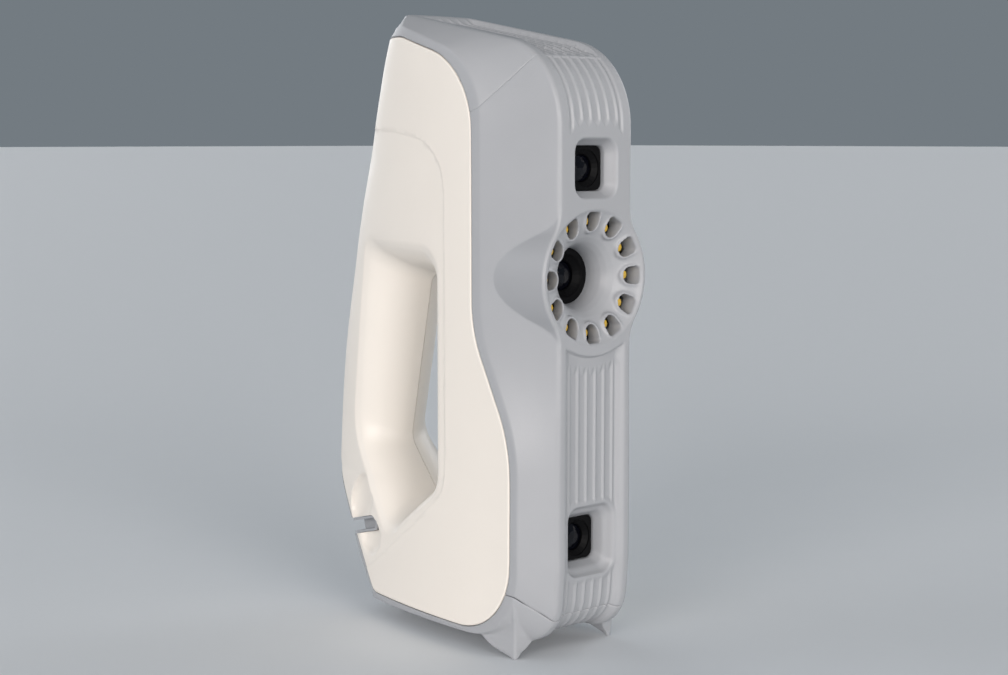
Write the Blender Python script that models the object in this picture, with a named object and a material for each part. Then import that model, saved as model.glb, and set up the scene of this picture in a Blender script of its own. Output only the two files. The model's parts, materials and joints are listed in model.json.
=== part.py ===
"""Handheld structured-light scanner: a tall moulded body with a hand hole, a flash ring, two camera
windows, a rear rocker button and the optics, boards and fan inside. Lengths are written in millimetres."""

import math

import bmesh
import bpy
from mathutils import Matrix, Vector

MM = 0.001

# Overall form. Y runs from the front strip (minus) to the grip (plus), Z up from the foot tips.
FRONT = -79.8
UNDERSIDE = 6.4
WALL = 2.4
FRONT_WALL = 3.4
SEAM_SHARE = 0.008
GUIDE_SHARE = 0.03
COVER_GAP = 0.4
SIDE_HALF = 31.5
PANEL_RADIUS = 334.0
PANEL_FLAT_TO = -40.0
CREASE_DROP = 0.5
DEPTH_SHIFT = 1.9
CORNER_WEIGHT = 12.0

# Outlines in the side view as (y, z, corner radius), from the front bottom corner upwards and round.
CENTRE_OUTLINE = (
    (-77.2, UNDERSIDE, 19), (FRONT, 38, 25), (FRONT, 242, 35.5), (17, 260.2, 5), (27, 250.5, 5),
    (70.3, 141, 400), (77, 60.5, 14), (40.4, UNDERSIDE, 8),
)
EDGE_OUTLINE = (
    (-77.2, UNDERSIDE, 19), (FRONT, 38, 25), (FRONT, 242, 35.5), (16.4, 260, 5), (25.8, 250.2, 5),
    (68.9, 141, 400), (75.4, 60.6, 12.5), (39.8, UNDERSIDE, 8),
)
CREASE_OUTLINE = (
    (-67.4, 7, 30), (-67.4, 87.5, 60), (-45.5, 131.3, 50), (-45.2, 238.3, 32), (8, 254.5, 20),
    (22.5, 252.4, 4), (67.3, 141, 400), (73.4, 60.8, 11.5), (39, 7, 7),
)
COVER_OUTLINE = (
    (-63.1, 9, 30), (-63.1, 87.4, 60), (-40.8, 131.2, 50), (-40.5, 236.7, 34), (7, 250, 20),
    (21.5, 249.8, 4), (66.6, 141, 400), (72.6, 61, 11), (33, 10, 6),
)
SCOOP_OUTLINE = (
    (-19.7, 62, 14), (-19.7, 166, 13), (41, 165, 9), (53.5, 80, 30), (21, 34.5, 9),
)
HOLE_OUTLINE = (
    (-10, 66, 10), (-10, 151, 12), (19, 151, 8), (34, 76, 10), (13, 50, 8),
)

# The same stations marked on every outline: seams, corners and points between them.
CENTRE_KEYS = (
    (-75.6, 17.5), (-79.8, 75), (-79.8, 120), (-79.8, 165), (-64.5, 238.1), (-25, 252.5), (17, 260.2),
    (27, 250.5), (62.7, 157), (77, 62), (64.6, 42), (54.5, 27), (40.4, 6.4), (-10, 6.4),
)
CREASE_KEYS = (
    (-66, 26), (-66.8, 80), (-51, 121), (-45.4, 165), (-45.3, 220.5), (-15, 248), (10, 254.5),
    (22.5, 252.4), (59.5, 157), (73.4, 62), (61.6, 42), (53.5, 29.5), (39, 7), (-10, 7),
)
COVER_KEYS = (
    (-58.8, 27.5), (-62.6, 80), (-46.6, 120), (-40.8, 165), (-39, 218.6), (-12, 244.7), (9, 250),
    (21.5, 249.8), (59, 157), (72.6, 62), (58.6, 43), (50.1, 32), (33, 10), (-10, 9.4),
)
SCOOP_KEYS = (
    (-19.7, 60), (-19.7, 90), (-19.7, 118), (-19.7, 142), (-19.7, 166), (4, 166), (22, 165.5),
    (41, 165), (46, 130), (53.5, 80), (43, 62), (32, 48), (21, 34.5), (-2, 49.5),
)
HOLE_KEYS = (
    (-10, 64), (-10, 84), (-10, 108), (-10, 130), (-10, 151), (2, 151), (10, 151),
    (19, 151), (24, 124), (34, 76), (27, 68), (20, 60), (13, 50), (0, 59),
)
STRIP_HALVES = (20, 20, 20, 20, 20, 19.5, 17, 11, 6, 6, 11, 12, 20, 22)
BACK_ROUNDING = ((0, 120), (22, 100), (38, 55), (60, 12.25), (150, 14), (200, 22), (240, 40), (262, 40))
BOTTOM_SEAM, TOP_SEAM, CAP_REAR, SPINE_FOOT = 0, 4, 7.15, 10.6
STATIONS = len(CENTRE_KEYS)

# Front face features.
RING_Z = 153.0
RING_RADIUS = 29.0
LED_COUNT = 12
LED_ORBIT = 22.3
POCKET_WIDTH = 7.4
POCKET_LENGTH = 7.6
UPPER_Z = 196.2
LOWER_Z = 46.9
WINDOW = 18.0
RIB_PITCH = 4.9
RIB_WIDTH = 1.9
FLUTE_DEPTH = 1.5
CHANNEL_HALF = 15.2
CHANNEL_DEPTH = 1.2

# Rear features.
BUTTON_Z = 192.0
BUTTON_LENGTH = 27.0
BUTTON_WIDTH = 10.0
NOTCH_END = (31.0, 41.1)
NOTCH_TILT = 14.0
NOTCH_HEIGHT = 6.6
NECK_DEPTH = 4.3
FOOT_X, FOOT_Y = 26.6, -60.6
FOOT_LEAN = 0.04
PIVOT_DEPTH = -5.4
BUTTON_ARM = 9.0
STATUS_Z = 219.0
SOCKET_Z = 45.5
SOCKET_SHIFT = 6.0
FAN_Y = -8.0
FAN_Z = 205.0

COLOURS = {
    "grey_shell": ((0.34, 0.35, 0.36, 1), 0.5, 0.0),
    "cream_shell": ((0.84, 0.79, 0.71, 1), 0.42, 0.0),
    "black_plastic": ((0.02, 0.02, 0.022, 1), 0.45, 0.0),
    "lens_glass": ((0.03, 0.03, 0.045, 1), 0.06, 0.0),
    "aluminium": ((0.62, 0.63, 0.65, 1), 0.35, 1.0),
    "steel": ((0.5, 0.5, 0.52, 1), 0.3, 1.0),
    "board": ((0.012, 0.016, 0.013, 1), 0.5, 0.0),
    "phosphor": ((0.85, 0.62, 0.12, 1), 0.35, 0.0),
    "rubber": ((0.05, 0.05, 0.055, 1), 0.8, 0.0),
    "light_pipe": ((0.8, 0.85, 0.88, 1), 0.25, 0.0),
}


def clear_scene():
    for obj in list(bpy.data.objects):
        bpy.data.objects.remove(obj, do_unlink=True)


def material(name):
    found = bpy.data.materials.get(name)
    if found:
        return found
    colour, roughness, metallic = COLOURS[name]
    made = bpy.data.materials.new(name)
    made.use_nodes = True
    shader = made.node_tree.nodes["Principled BSDF"]
    shader.inputs["Base Color"].default_value = colour
    shader.inputs["Roughness"].default_value = roughness
    shader.inputs["Metallic"].default_value = metallic
    made.diffuse_color = colour
    return made


def keyed(values, tau):
    """A value given at whole stations, read between them."""
    low = math.floor(tau)
    share = tau - low
    return values[low % len(values)] * (1 - share) + values[(low + 1) % len(values)] * share


def table(pairs, at):
    for (a, low), (b, high) in zip(pairs, pairs[1:]):
        if at <= b:
            share = max(0.0, (at - a) / (b - a))
            return low + (high - low) * share
    return pairs[-1][1]


def rounded(corners, arc_step=math.radians(7), edge_step=3.0):
    """The closed outline of a polygon with rounded corners, as close-set points."""
    points = []
    for i, (y, z, radius) in enumerate(corners):
        corner = Vector((y, z))
        back = (Vector(corners[i - 1][:2]) - corner).normalized()
        ahead = (Vector(corners[(i + 1) % len(corners)][:2]) - corner).normalized()
        half = back.angle(ahead) / 2
        centre = corner + (back + ahead).normalized() * (radius / math.sin(half))
        first = corner + back * (radius / math.tan(half)) - centre
        last = corner + ahead * (radius / math.tan(half)) - centre
        start = math.atan2(first.y, first.x)
        turn = math.remainder(math.atan2(last.y, last.x) - start, math.tau)
        count = max(3, math.ceil(abs(turn) / arc_step))
        for k in range(count + 1):
            angle = start + turn * k / count
            points.append(centre + Vector((math.cos(angle), math.sin(angle))) * radius)
    dense = []
    for a, b in zip(points, points[1:] + points[:1]):
        pieces = max(1, math.ceil((b - a).length / edge_step))
        dense += [a.lerp(b, k / pieces) for k in range(pieces)]
    return dense


class Outline:
    """A closed outline with the stations marked on it, read at any station."""

    def __init__(self, corners, keys):
        self.points = rounded(corners)
        count = len(self.points)
        self.reach = [0.0]
        for i in range(count):
            here = self.points[(i + 1) % count] - self.points[i]
            after = self.points[(i + 2) % count] - self.points[(i + 1) % count]
            turn = here.angle(after, 0.0)
            self.reach.append(self.reach[-1] + here.length + CORNER_WEIGHT * turn)
        self.total = self.reach[-1]
        self.marks = []
        for key in keys:
            nearest = min(range(count), key=lambda i: (self.points[i] - Vector(key)).length)
            mark = self.reach[nearest]
            while self.marks and mark < self.marks[-1] - self.total / 2:
                mark += self.total
            self.marks.append(mark)
        self.marks.append(self.marks[0] + self.total)

    def at(self, tau):
        tau = tau % STATIONS
        low = min(int(tau), STATIONS - 1)
        where = self.marks[low] + (self.marks[low + 1] - self.marks[low]) * (tau - low)
        where = where % self.total
        i = 0
        step = 1 << 12
        while step:
            if i + step < len(self.reach) and self.reach[i + step] <= where:
                i += step
            step >>= 1
        i = min(i, len(self.points) - 1)
        share = (where - self.reach[i]) / max(1e-9, self.reach[i + 1] - self.reach[i])
        return self.points[i].lerp(self.points[(i + 1) % len(self.points)], min(1.0, share))


CENTRE = Outline(CENTRE_OUTLINE, CENTRE_KEYS)
EDGE = Outline(EDGE_OUTLINE, CENTRE_KEYS)
CREASE = Outline(CREASE_OUTLINE, CREASE_KEYS)
COVER = Outline(COVER_OUTLINE, COVER_KEYS)
SCOOP = Outline(SCOOP_OUTLINE, SCOOP_KEYS)
HOLE = Outline(HOLE_OUTLINE, HOLE_KEYS)
BACK = [p for p in CENTRE.points if p.x > 20]


def back_at(z):
    """How far back the centre outline reaches at this height."""
    nearest = sorted(BACK, key=lambda p: abs(p.y - z))[:2]
    a, b = nearest
    if abs(a.y - b.y) < 1e-6:
        return max(a.x, b.x)
    return a.x + (b.x - a.x) * (z - a.y) / (b.y - a.y)


def side_half(y, z):
    """Half the width of the body at a point of the side view, behind the front flare."""
    panel = SIDE_HALF - max(0.0, y - PANEL_FLAT_TO) ** 2 / (2 * PANEL_RADIUS)
    depth = max(0.4, back_at(z) - y)
    back = math.sqrt(2 * table(BACK_ROUNDING, z) * depth)
    return (panel**-6 + back**-6) ** (-1 / 6)


def under_panel(y, z, half, wall):
    """The point that lies under a point of the side panel, on the right-hand side."""
    step = 0.4
    slope_y = (side_half(y + step, z) - side_half(y - step, z)) / (2 * step)
    slope_z = (side_half(y, z + step) - side_half(y, z - step)) / (2 * step)
    return Vector((half, y, z)) - Vector((1, -slope_y, -slope_z)).normalized() * wall


def rim_row(tau):
    """The grey rim from one cover edge over the centre line to the other, at one station."""
    centre, edge = CENTRE.at(tau), EDGE.at(tau)
    crease, cover = CREASE.at(tau), COVER.at(tau)
    crease_half = side_half(*crease) - CREASE_DROP
    cover_half = side_half(*cover)
    half = min(keyed(STRIP_HALVES, tau), crease_half - 2.5)
    shoulder = edge.lerp(crease, 0.05)
    ahead = (CENTRE.at(tau + 0.01) - CENTRE.at(tau - 0.01)).normalized()
    inside = centre + Vector((ahead.y, -ahead.x)) * FRONT_WALL
    near, far = [], []
    for x, p in ((half - 1.6, centre), (half + 0.2, shoulder)):
        near.append((Vector((-x, p.x, p.y)), Vector((FRONT_WALL - half, inside.x, inside.y))))
        far.append((Vector((x, p.x, p.y)), Vector((half - FRONT_WALL, inside.x, inside.y))))
    near.append((Vector((-crease_half, crease.x, crease.y)), WALL))
    far.append((Vector((crease_half, crease.x, crease.y)), WALL))
    under = under_panel(cover.x, cover.y, cover_half, WALL)
    near.append((Vector((-cover_half, cover.x, cover.y)), Vector((-under.x, under.y, under.z))))
    far.append((Vector((cover_half, cover.x, cover.y)), under))
    return near[::-1] + far


def cover_row(tau, side):
    """A cover from its rim to the middle of the hand hole, at one station."""
    cover, scoop, hole = COVER.at(tau), SCOOP.at(tau), HOLE.at(tau)
    inset = COVER_GAP / (scoop - cover).length
    row = []
    for share in (inset, 0.1, 0.45, 0.8):
        p = cover.lerp(scoop, share)
        row.append((side_half(*p), p))
    scoop_half = side_half(*scoop)
    for share in (0, 0.3, 0.6, 0.85, 1):
        p = scoop.lerp(hole, share)
        row.append((max(COVER_GAP / 2, scoop_half * (1 - share**1.8) ** (1 / 1.8)), p))
    made = [(Vector((side * x, p.x, p.y)), WALL) for x, p in row]
    edge = made[0][0]
    half = side_half(*cover)
    under = under_panel(cover.x, cover.y, half, WALL) - Vector((half, cover.x, cover.y))
    made[0] = (edge, edge + Vector((side * under.x, under.y, under.z)))
    return made


def grid_normals(rows, closed):
    normals = []
    count = len(rows)
    for i, row in enumerate(rows):
        line = []
        for j in range(len(row)):
            if closed:
                along = rows[(i + 1) % count][j][0] - rows[i - 1][j][0]
            else:
                along = rows[min(i + 1, count - 1)][j][0] - rows[max(i - 1, 0)][j][0]
            across = row[min(j + 1, len(row) - 1)][0] - row[max(j - 1, 0)][0]
            line.append(along.cross(across).normalized())
        normals.append(line)
    return normals


def mesh_object(name, bm, material_name, origin=(0, 0, 0)):
    """A mesh in millimetres made into a named object in metres, with its origin where asked."""
    bmesh.ops.remove_doubles(bm, verts=bm.verts, dist=1e-5)
    bmesh.ops.recalc_face_normals(bm, faces=bm.faces)
    if bm.calc_volume(signed=True) < 0:
        bmesh.ops.reverse_faces(bm, faces=bm.faces)
    bmesh.ops.translate(bm, verts=bm.verts, vec=-Vector(origin))
    bmesh.ops.scale(bm, verts=bm.verts, vec=(MM, MM, MM))
    mesh = bpy.data.meshes.new(name)
    bm.to_mesh(mesh)
    bm.free()
    mesh.materials.append(material(material_name))
    obj = bpy.data.objects.new(name, mesh)
    obj.location = Vector(origin) * MM
    bpy.context.scene.collection.objects.link(obj)
    return obj


def thick_grid(name, rows, material_name, closed=False, least_half=None):
    """A sheet given as rows of (point, wall or inner point), thickened inwards into a closed body.
    The first and last rows of an open sheet only guide the direction of its ends."""
    bm = bmesh.new()
    normals = grid_normals(rows, closed)
    if not closed:
        rows, normals = rows[1:-1], normals[1:-1]
    outward = sum(normals[i][j].x * p.x for i, row in enumerate(rows) for j, (p, _) in enumerate(row))
    sign = -1 if outward > 0 else 1
    outer, inner = [], []
    for i, row in enumerate(rows):
        outer.append([bm.verts.new(p) for p, _ in row])
        line = []
        for j, (p, wall) in enumerate(row):
            q = wall if isinstance(wall, Vector) else p + normals[i][j] * (sign * wall)
            if least_half is not None and q.x * math.copysign(1, p.x) < least_half:
                q.x = math.copysign(least_half, p.x)
            line.append(bm.verts.new(q))
        inner.append(line)
    count = len(rows)
    for i in range(count if closed else count - 1):
        k = (i + 1) % count
        for j in range(len(rows[i]) - 1):
            bm.faces.new((outer[i][j], outer[i][j + 1], outer[k][j + 1], outer[k][j]))
            bm.faces.new((inner[i][j], inner[k][j], inner[k][j + 1], inner[i][j + 1]))
        for j in (0, -1):
            bm.faces.new((outer[i][j], outer[k][j], inner[k][j], inner[i][j]))
    if not closed:
        for i in (0, -1):
            for j in range(len(rows[i]) - 1):
                bm.faces.new((outer[i][j], outer[i][j + 1], inner[i][j + 1], inner[i][j]))
    return mesh_object(name, bm, material_name)


def box_mesh(bm, low, high):
    made = bmesh.ops.create_cube(bm, size=1.0)["verts"]
    size = Vector(high) - Vector(low)
    bmesh.ops.scale(bm, verts=made, vec=size)
    bmesh.ops.translate(bm, verts=made, vec=(Vector(low) + Vector(high)) / 2)
    return made


def box(name, low, high, material_name, origin=None, bevel=0.0):
    bm = bmesh.new()
    box_mesh(bm, low, high)
    if bevel:
        bmesh.ops.bevel(bm, geom=bm.edges[:], offset=bevel, segments=1, affect="EDGES")
    if origin is None:
        origin = (Vector(low) + Vector(high)) / 2
    return mesh_object(name, bm, material_name, origin)


def lathe_mesh(bm, profile, axis_point, axis, segments):
    """Turns a closed profile of (radius, distance along the axis) round the axis."""
    turn = Vector((0, 0, 1)).rotation_difference(Vector(axis)).to_matrix().to_4x4()
    place = Matrix.Translation(axis_point) @ turn
    rings = []
    for radius, height in profile:
        if radius < 1e-6:
            rings.append([bm.verts.new(place @ Vector((0, 0, height)))])
            continue
        ring = []
        for k in range(segments):
            angle = math.tau * k / segments
            spot = Vector((radius * math.cos(angle), radius * math.sin(angle), height))
            ring.append(bm.verts.new(place @ spot))
        rings.append(ring)
    for a, b in zip(rings, rings[1:] + rings[:1]):
        for k in range(segments):
            corners = [a[k % len(a)], a[(k + 1) % len(a)], b[(k + 1) % len(b)], b[k % len(b)]]
            unique = list(dict.fromkeys(corners))
            if len(unique) > 2:
                bm.faces.new(unique)


def lathe(name, profile, axis_point, axis, material_name, segments=28, origin=None):
    bm = bmesh.new()
    lathe_mesh(bm, profile, Vector(axis_point), axis, segments)
    return mesh_object(name, bm, material_name, origin or axis_point)


def tube(name, outer, inner, start, end, axis_point, axis, material_name, segments=28):
    profile = ((inner, start), (outer, start), (outer, end), (inner, end))
    return lathe(name, profile, axis_point, axis, material_name, segments)


def disc(name, radius, start, end, axis_point, axis, material_name, segments=28):
    profile = ((0, start), (radius, start), (radius, end), (0, end))
    return lathe(name, profile, axis_point, axis, material_name, segments)


def prism_mesh(bm, outline, low, high, put):
    """A closed outline of (u, v) drawn out between low and high, each corner placed by put(u, v, w)."""
    bottom = [bm.verts.new(put(u, v, low)) for u, v in outline]
    top = [bm.verts.new(put(u, v, high)) for u, v in outline]
    bm.faces.new(bottom)
    bm.faces.new(top[::-1])
    count = len(outline)
    for k in range(count):
        bm.faces.new((bottom[k], bottom[(k + 1) % count], top[(k + 1) % count], top[k]))


def rounded_box_outline(half_u, half_v, radius, steps=3):
    points = []
    corners = ((1, 1, 0), (-1, 1, 90), (-1, -1, 180), (1, -1, 270))
    for su, sv, start in corners:
        for k in range(steps + 1):
            angle = math.radians(start + 90 * k / steps)
            u = su * (half_u - radius) + radius * math.cos(angle)
            v = sv * (half_v - radius) + radius * math.sin(angle)
            points.append((u, v))
    return points


def combine(target, tool, operation):
    """Joins the tool to the target, or cuts it out, and removes the tool."""
    modifier = target.modifiers.new("join", "BOOLEAN")
    modifier.operation = operation
    modifier.solver = "EXACT"
    modifier.object = tool
    bpy.context.view_layer.update()
    graph = bpy.context.evaluated_depsgraph_get()
    made = bpy.data.meshes.new_from_object(target.evaluated_get(graph))
    target.modifiers.clear()
    old = target.data
    target.data = made
    made.name = old.name
    bpy.data.meshes.remove(old)
    bpy.data.objects.remove(tool, do_unlink=True)


def helper(bm):
    return mesh_object("helper", bm, "grey_shell")


def cut(target, bm):
    combine(target, helper(bm), "DIFFERENCE")


def join(target, bm):
    combine(target, helper(bm), "UNION")


def funnel(bm, centre_z, mouth, throat, deep, through):
    """A window cutter: a flared mouth in the front face that narrows to the throat and runs on."""
    steps = 4
    layers = (
        (mouth[0] + 2.0, mouth[1] + 2.0, mouth[2] + 1.0, FRONT - 2.0),
        (mouth[0], mouth[1], mouth[2], FRONT + 0.6),
        (throat[0], throat[1], throat[2], FRONT + deep),
        (throat[0], throat[1], throat[2], FRONT + through),
    )
    rings = []
    for half_x, half_z, radius, y in layers:
        outline = rounded_box_outline(half_x, half_z, radius, steps)
        rings.append([bm.verts.new((u, y, centre_z + v)) for u, v in outline])
    bm.faces.new(rings[0])
    bm.faces.new(rings[-1][::-1])
    for a, b in zip(rings, rings[1:]):
        for k in range(len(a)):
            n = (k + 1) % len(a)
            bm.faces.new((a[k], a[n], b[n], b[k]))


def pocket_outline():
    """The D shape of a lamp pocket: round towards the ring's middle, square outside."""
    half = POCKET_WIDTH / 2
    inner, outer = LED_ORBIT - POCKET_LENGTH / 2, LED_ORBIT + POCKET_LENGTH / 2
    points = [(half, inner + half), (half, outer - 1.5), (half - 1.5, outer)]
    points += [(1.5 - half, outer), (-half, outer - 1.5)]
    for k in range(5):
        angle = math.pi + math.pi * k / 5
        points.append((half * math.cos(angle), inner + half + half * math.sin(angle)))
    return points


def profile_slab(bm, start, end, steps, above, below, low_x, high_x):
    """A slab that follows the centre outline between two stations."""
    outer, inner = [], []
    for k in range(steps + 1):
        tau = start + (end - start) * k / steps
        p = CENTRE.at(tau)
        ahead = (CENTRE.at(tau + 0.02) - CENTRE.at(tau - 0.02)).normalized()
        out = Vector((-ahead.y, ahead.x))
        outer.append(p + out * above)
        inner.append(p - out * below)
    outline = [(q.x, q.y) for q in outer + inner[::-1]]
    prism_mesh(bm, outline, low_x, high_x, lambda u, v, w: Vector((w, u, v)))


def flutes(start, end, steps, depth):
    """The grooves between six ribs, and one outside each end rib."""
    bm = bmesh.new()
    for k in range(-3, 4):
        middle = k * RIB_PITCH
        half = (RIB_PITCH - RIB_WIDTH) / 2
        profile_slab(bm, start, end, steps, 3.0, depth, middle - half, middle + half)
    return bm


def front_bezel():
    rows = [rim_row(t) for t in stations(BOTTOM_SEAM, TOP_SEAM, 17)]
    bezel = thick_grid("front_bezel", rows, "grey_shell")

    bm = bmesh.new()
    hole = RING_RADIUS - 1
    lathe_mesh(bm, ((0, -6), (hole, -6), (hole, 26), (0, 26)), Vector((0, FRONT, RING_Z)), (0, 1, 0), 32)
    cut(bezel, bm)

    bm = bmesh.new()
    dish = (
        (RING_RADIUS, 32.3), (RING_RADIUS, 1.6), (28.3, 0.4), (27.4, -0.3), (26.7, -0.3), (26.0, 1.2),
        (22.5, 2.6), (18.5, 4.0), (15.0, 7.0), (12.9, 11.0), (11.9, 15.5), (11.9, 18.0), (13.6, 18.0),
        (15.0, 13.0), (17.5, 8.6), (20.5, 6.6), (26.0, 5.6), (26.6, 6.4), (26.6, 32.3),
    )
    lathe_mesh(bm, dish, Vector((0, FRONT, RING_Z)), (0, 1, 0), 36)
    join(bezel, bm)

    bm = bmesh.new()
    box_mesh(bm, (-14, FRONT + 3, UPPER_Z - 14), (14, FRONT + 11, UPPER_Z + 13))
    join(bezel, bm)
    bm = bmesh.new()
    box_mesh(bm, (-14.5, FRONT + 3, LOWER_Z - 15.5), (14.5, FRONT + 15.5, LOWER_Z + 15.5))
    join(bezel, bm)

    bm = bmesh.new()
    profile_slab(bm, BOTTOM_SEAM - 0.1, 2.03, 12, 3.0, CHANNEL_DEPTH, -CHANNEL_HALF, CHANNEL_HALF)
    cut(bezel, bm)
    cut(bezel, flutes(0.65, 1.96, 4, FLUTE_DEPTH + CHANNEL_DEPTH))
    cut(bezel, flutes(-0.1, 0.22, 6, FLUTE_DEPTH + CHANNEL_DEPTH))
    cut(bezel, flutes(3.62, TOP_SEAM + 0.1, 8, FLUTE_DEPTH))

    bm = bmesh.new()
    funnel(bm, UPPER_Z, (11.2, 11.3, 5.0), (WINDOW / 2, WINDOW / 2, 3.0), 4.8, 16)
    cut(bezel, bm)
    bm = bmesh.new()
    funnel(bm, LOWER_Z, (12.2, 14.0, 5.0), (WINDOW / 2, WINDOW / 2 + 0.1, 3.0), 9.9, 20)
    cut(bezel, bm)

    bm = bmesh.new()
    outline = pocket_outline()
    for k in range(LED_COUNT):
        spin = Matrix.Rotation(math.tau * k / LED_COUNT, 3, "Y")
        prism_mesh(
            bm, outline, FRONT - 2, FRONT + 9,
            lambda u, v, w: spin @ Vector((u, w, v)) + Vector((0, 0, RING_Z)),
        )
    cut(bezel, bm)
    return bezel


def stations(start, end, count):
    """Stations from one seam to the next, held back from each by half the seam."""
    first, last = start + SEAM_SHARE, end - SEAM_SHARE
    between = [first + (last - first) * k / count for k in range(1, count)]
    opening = [first - GUIDE_SHARE, first, first + GUIDE_SHARE]
    closing = [last - GUIDE_SHARE, last, last + GUIDE_SHARE]
    return opening + between + closing


def top_cap():
    cap = thick_grid("top_cap", [rim_row(t) for t in stations(TOP_SEAM, CAP_REAR, 14)], "grey_shell")
    cut(cap, flutes(TOP_SEAM - 0.1, 5.85, 10, FLUTE_DEPTH + 0.6))
    bm = bmesh.new()
    for row in range(5):
        y = -42 + row * 11
        for column in range(-2, 3):
            x = column * RIB_PITCH
            box_mesh(bm, (x - 1.1, y - 3.6, 238), (x + 1.1, y + 3.6, 264))
    cut(cap, bm)
    return cap


def foot_mesh(bm, side):
    """A foot with an upright outer edge, which spreads from a small flat tip into the body."""
    levels = (
        (22.5, 2.6, 2.6), (14, 6.5, 5.0), (9.7, 11.6, 7.0), (7.1, 14.0, 8.0), (3.4, 12.0, 5.2),
        (1.2, 6.0, 3.8), (0, 3.4, 3.4),
    )
    rings = []
    for z, back, inwards in levels:
        near = FOOT_Y - 1.8 - z * FOOT_LEAN
        far = near + back
        outer = side * (FOOT_X + 0.9 + z * FOOT_LEAN)
        inner = outer - side * inwards
        outline = ((outer, near), (outer, far), (inner, far), (inner, near))
        rings.append([bm.verts.new((x, y, z)) for x, y in outline])
    bm.faces.new(rings[0])
    bm.faces.new(rings[-1][::-1])
    for a, b in zip(rings, rings[1:]):
        for k in range(4):
            n = (k + 1) % 4
            bm.faces.new((a[k], a[n], b[n], b[k]))


def bottom_cap():
    rows = [rim_row(t) for t in stations(SPINE_FOOT, STATIONS + BOTTOM_SEAM, 18)]
    cap = thick_grid("bottom_cap", rows, "grey_shell")
    for side in (-1, 1):
        bm = bmesh.new()
        foot_mesh(bm, side)
        join(cap, bm)
    cut(cap, flutes(13.55, 14.1, 8, FLUTE_DEPTH + CHANNEL_DEPTH))
    bm = bmesh.new()
    lathe_mesh(bm, ((0, -8), (3.3, -8), (3.3, 8), (0, 8)), Vector((0, 22, UNDERSIDE)), (0, 0, 1), 16)
    cut(cap, bm)
    bm = bmesh.new()
    prism_mesh(bm, notch_outline(0.3), -40, 40, across)
    cut(cap, bm)
    return cap


def rear_frame(z):
    """Where the spine's centre line is at this height, and which way it faces."""
    low, high = back_at(z - 2), back_at(z + 2)
    out = Vector((0, 4, low - high)).normalized()
    return Vector((0, back_at(z), z)), out


def tilted(z):
    """Places (across, up the spine, out of it) at a point of the spine."""
    point, out = rear_frame(z)
    up = Vector((0, -out.z, out.y))
    return Matrix((
        (1, up.x, out.x, point.x), (0, up.y, out.y, point.y), (0, up.z, out.z, point.z), (0, 0, 0, 1),
    ))


def plate_mesh(bm, outline, low, high, place):
    prism_mesh(bm, outline, low, high, lambda u, v, w: place @ Vector((u, v, w)))


def notch_at(reach, rise=0.0):
    """A point of the notch in the side view, so far behind its front end and so far above its middle."""
    turn = math.radians(NOTCH_TILT)
    y = NOTCH_END[0] + reach * math.cos(turn) + rise * math.sin(turn)
    return y, NOTCH_END[1] - reach * math.sin(turn) + rise * math.cos(turn)


def notch_outline(grow):
    """The side view of the notch: open to the rear, round at its front end."""
    half = NOTCH_HEIGHT / 2 + grow
    points = [notch_at(45, -half), notch_at(45, half)]
    for k in range(11):
        angle = math.pi / 2 + math.pi * k / 10
        points.append(notch_at(NOTCH_HEIGHT / 2 + half * math.cos(angle), half * math.sin(angle)))
    return points


def notch_plan(start, depth):
    """The outline of the body in the notch's middle plane, drawn in by a depth, as (across, reach)."""
    right, reach = [], start
    y, z = notch_at(reach)
    while back_at(z) - y - depth > 0.5:
        right.append((side_half(y + depth, z) - depth, reach))
        reach += 1.5
        y, z = notch_at(reach)
    return right + [(-x, v) for x, v in reversed(right)]


def in_notch(u, v, w):
    return Vector((u, *notch_at(v, w)))


def across(u, v, w):
    return Vector((w, u, v))


def rear_spine():
    spine = thick_grid("rear_spine", [rim_row(t) for t in stations(CAP_REAR, SPINE_FOOT, 18)], "grey_shell")
    place = tilted(BUTTON_Z)

    bm = bmesh.new()
    near, far = BUTTON_WIDTH / 2 + 0.9, BUTTON_WIDTH / 2 + 3.4
    for left, right in ((-far, -near), (near, far)):
        verts = box_mesh(bm, (left, -3, -8.4), (right, 3, -2.8))
        bmesh.ops.transform(bm, matrix=place, verts=verts)
    join(spine, bm)

    bm = bmesh.new()
    outline = rounded_box_outline(BUTTON_WIDTH / 2 + 0.5, BUTTON_LENGTH / 2 + 0.5, 4.5, 4)
    plate_mesh(bm, outline, -6.0, 5.0, place)
    cut(spine, bm)
    bm = bmesh.new()
    pin_hole = ((0, -12), (1.3, -12), (1.3, 12), (0, 12))
    lathe_mesh(bm, pin_hole, place @ Vector((0, 0, PIVOT_DEPTH)), (1, 0, 0), 12)
    cut(spine, bm)
    bm = bmesh.new()
    plate_mesh(bm, rounded_box_outline(4.0, 1.6, 1.5, 3), -6, 4, tilted(STATUS_Z))
    cut(spine, bm)

    socket_place = tilted(SOCKET_Z)
    bm = bmesh.new()
    usb_place = socket_place @ Matrix.Translation((-SOCKET_SHIFT, 0, 0))
    plate_mesh(bm, rounded_box_outline(5.5, 5.3, 0.8, 1), -8, 4, usb_place)
    cut(spine, bm)
    bm = bmesh.new()
    jack_hole = ((0, -8), (4.8, -8), (4.8, 4), (0, 4))
    lathe_mesh(bm, jack_hole, socket_place @ Vector((SOCKET_SHIFT, 0, 0)), rear_frame(SOCKET_Z)[1], 20)
    cut(spine, bm)

    bm = bmesh.new()
    prism_mesh(bm, notch_outline(0.3), -40, 40, across)
    cut(spine, bm)
    return spine


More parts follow.
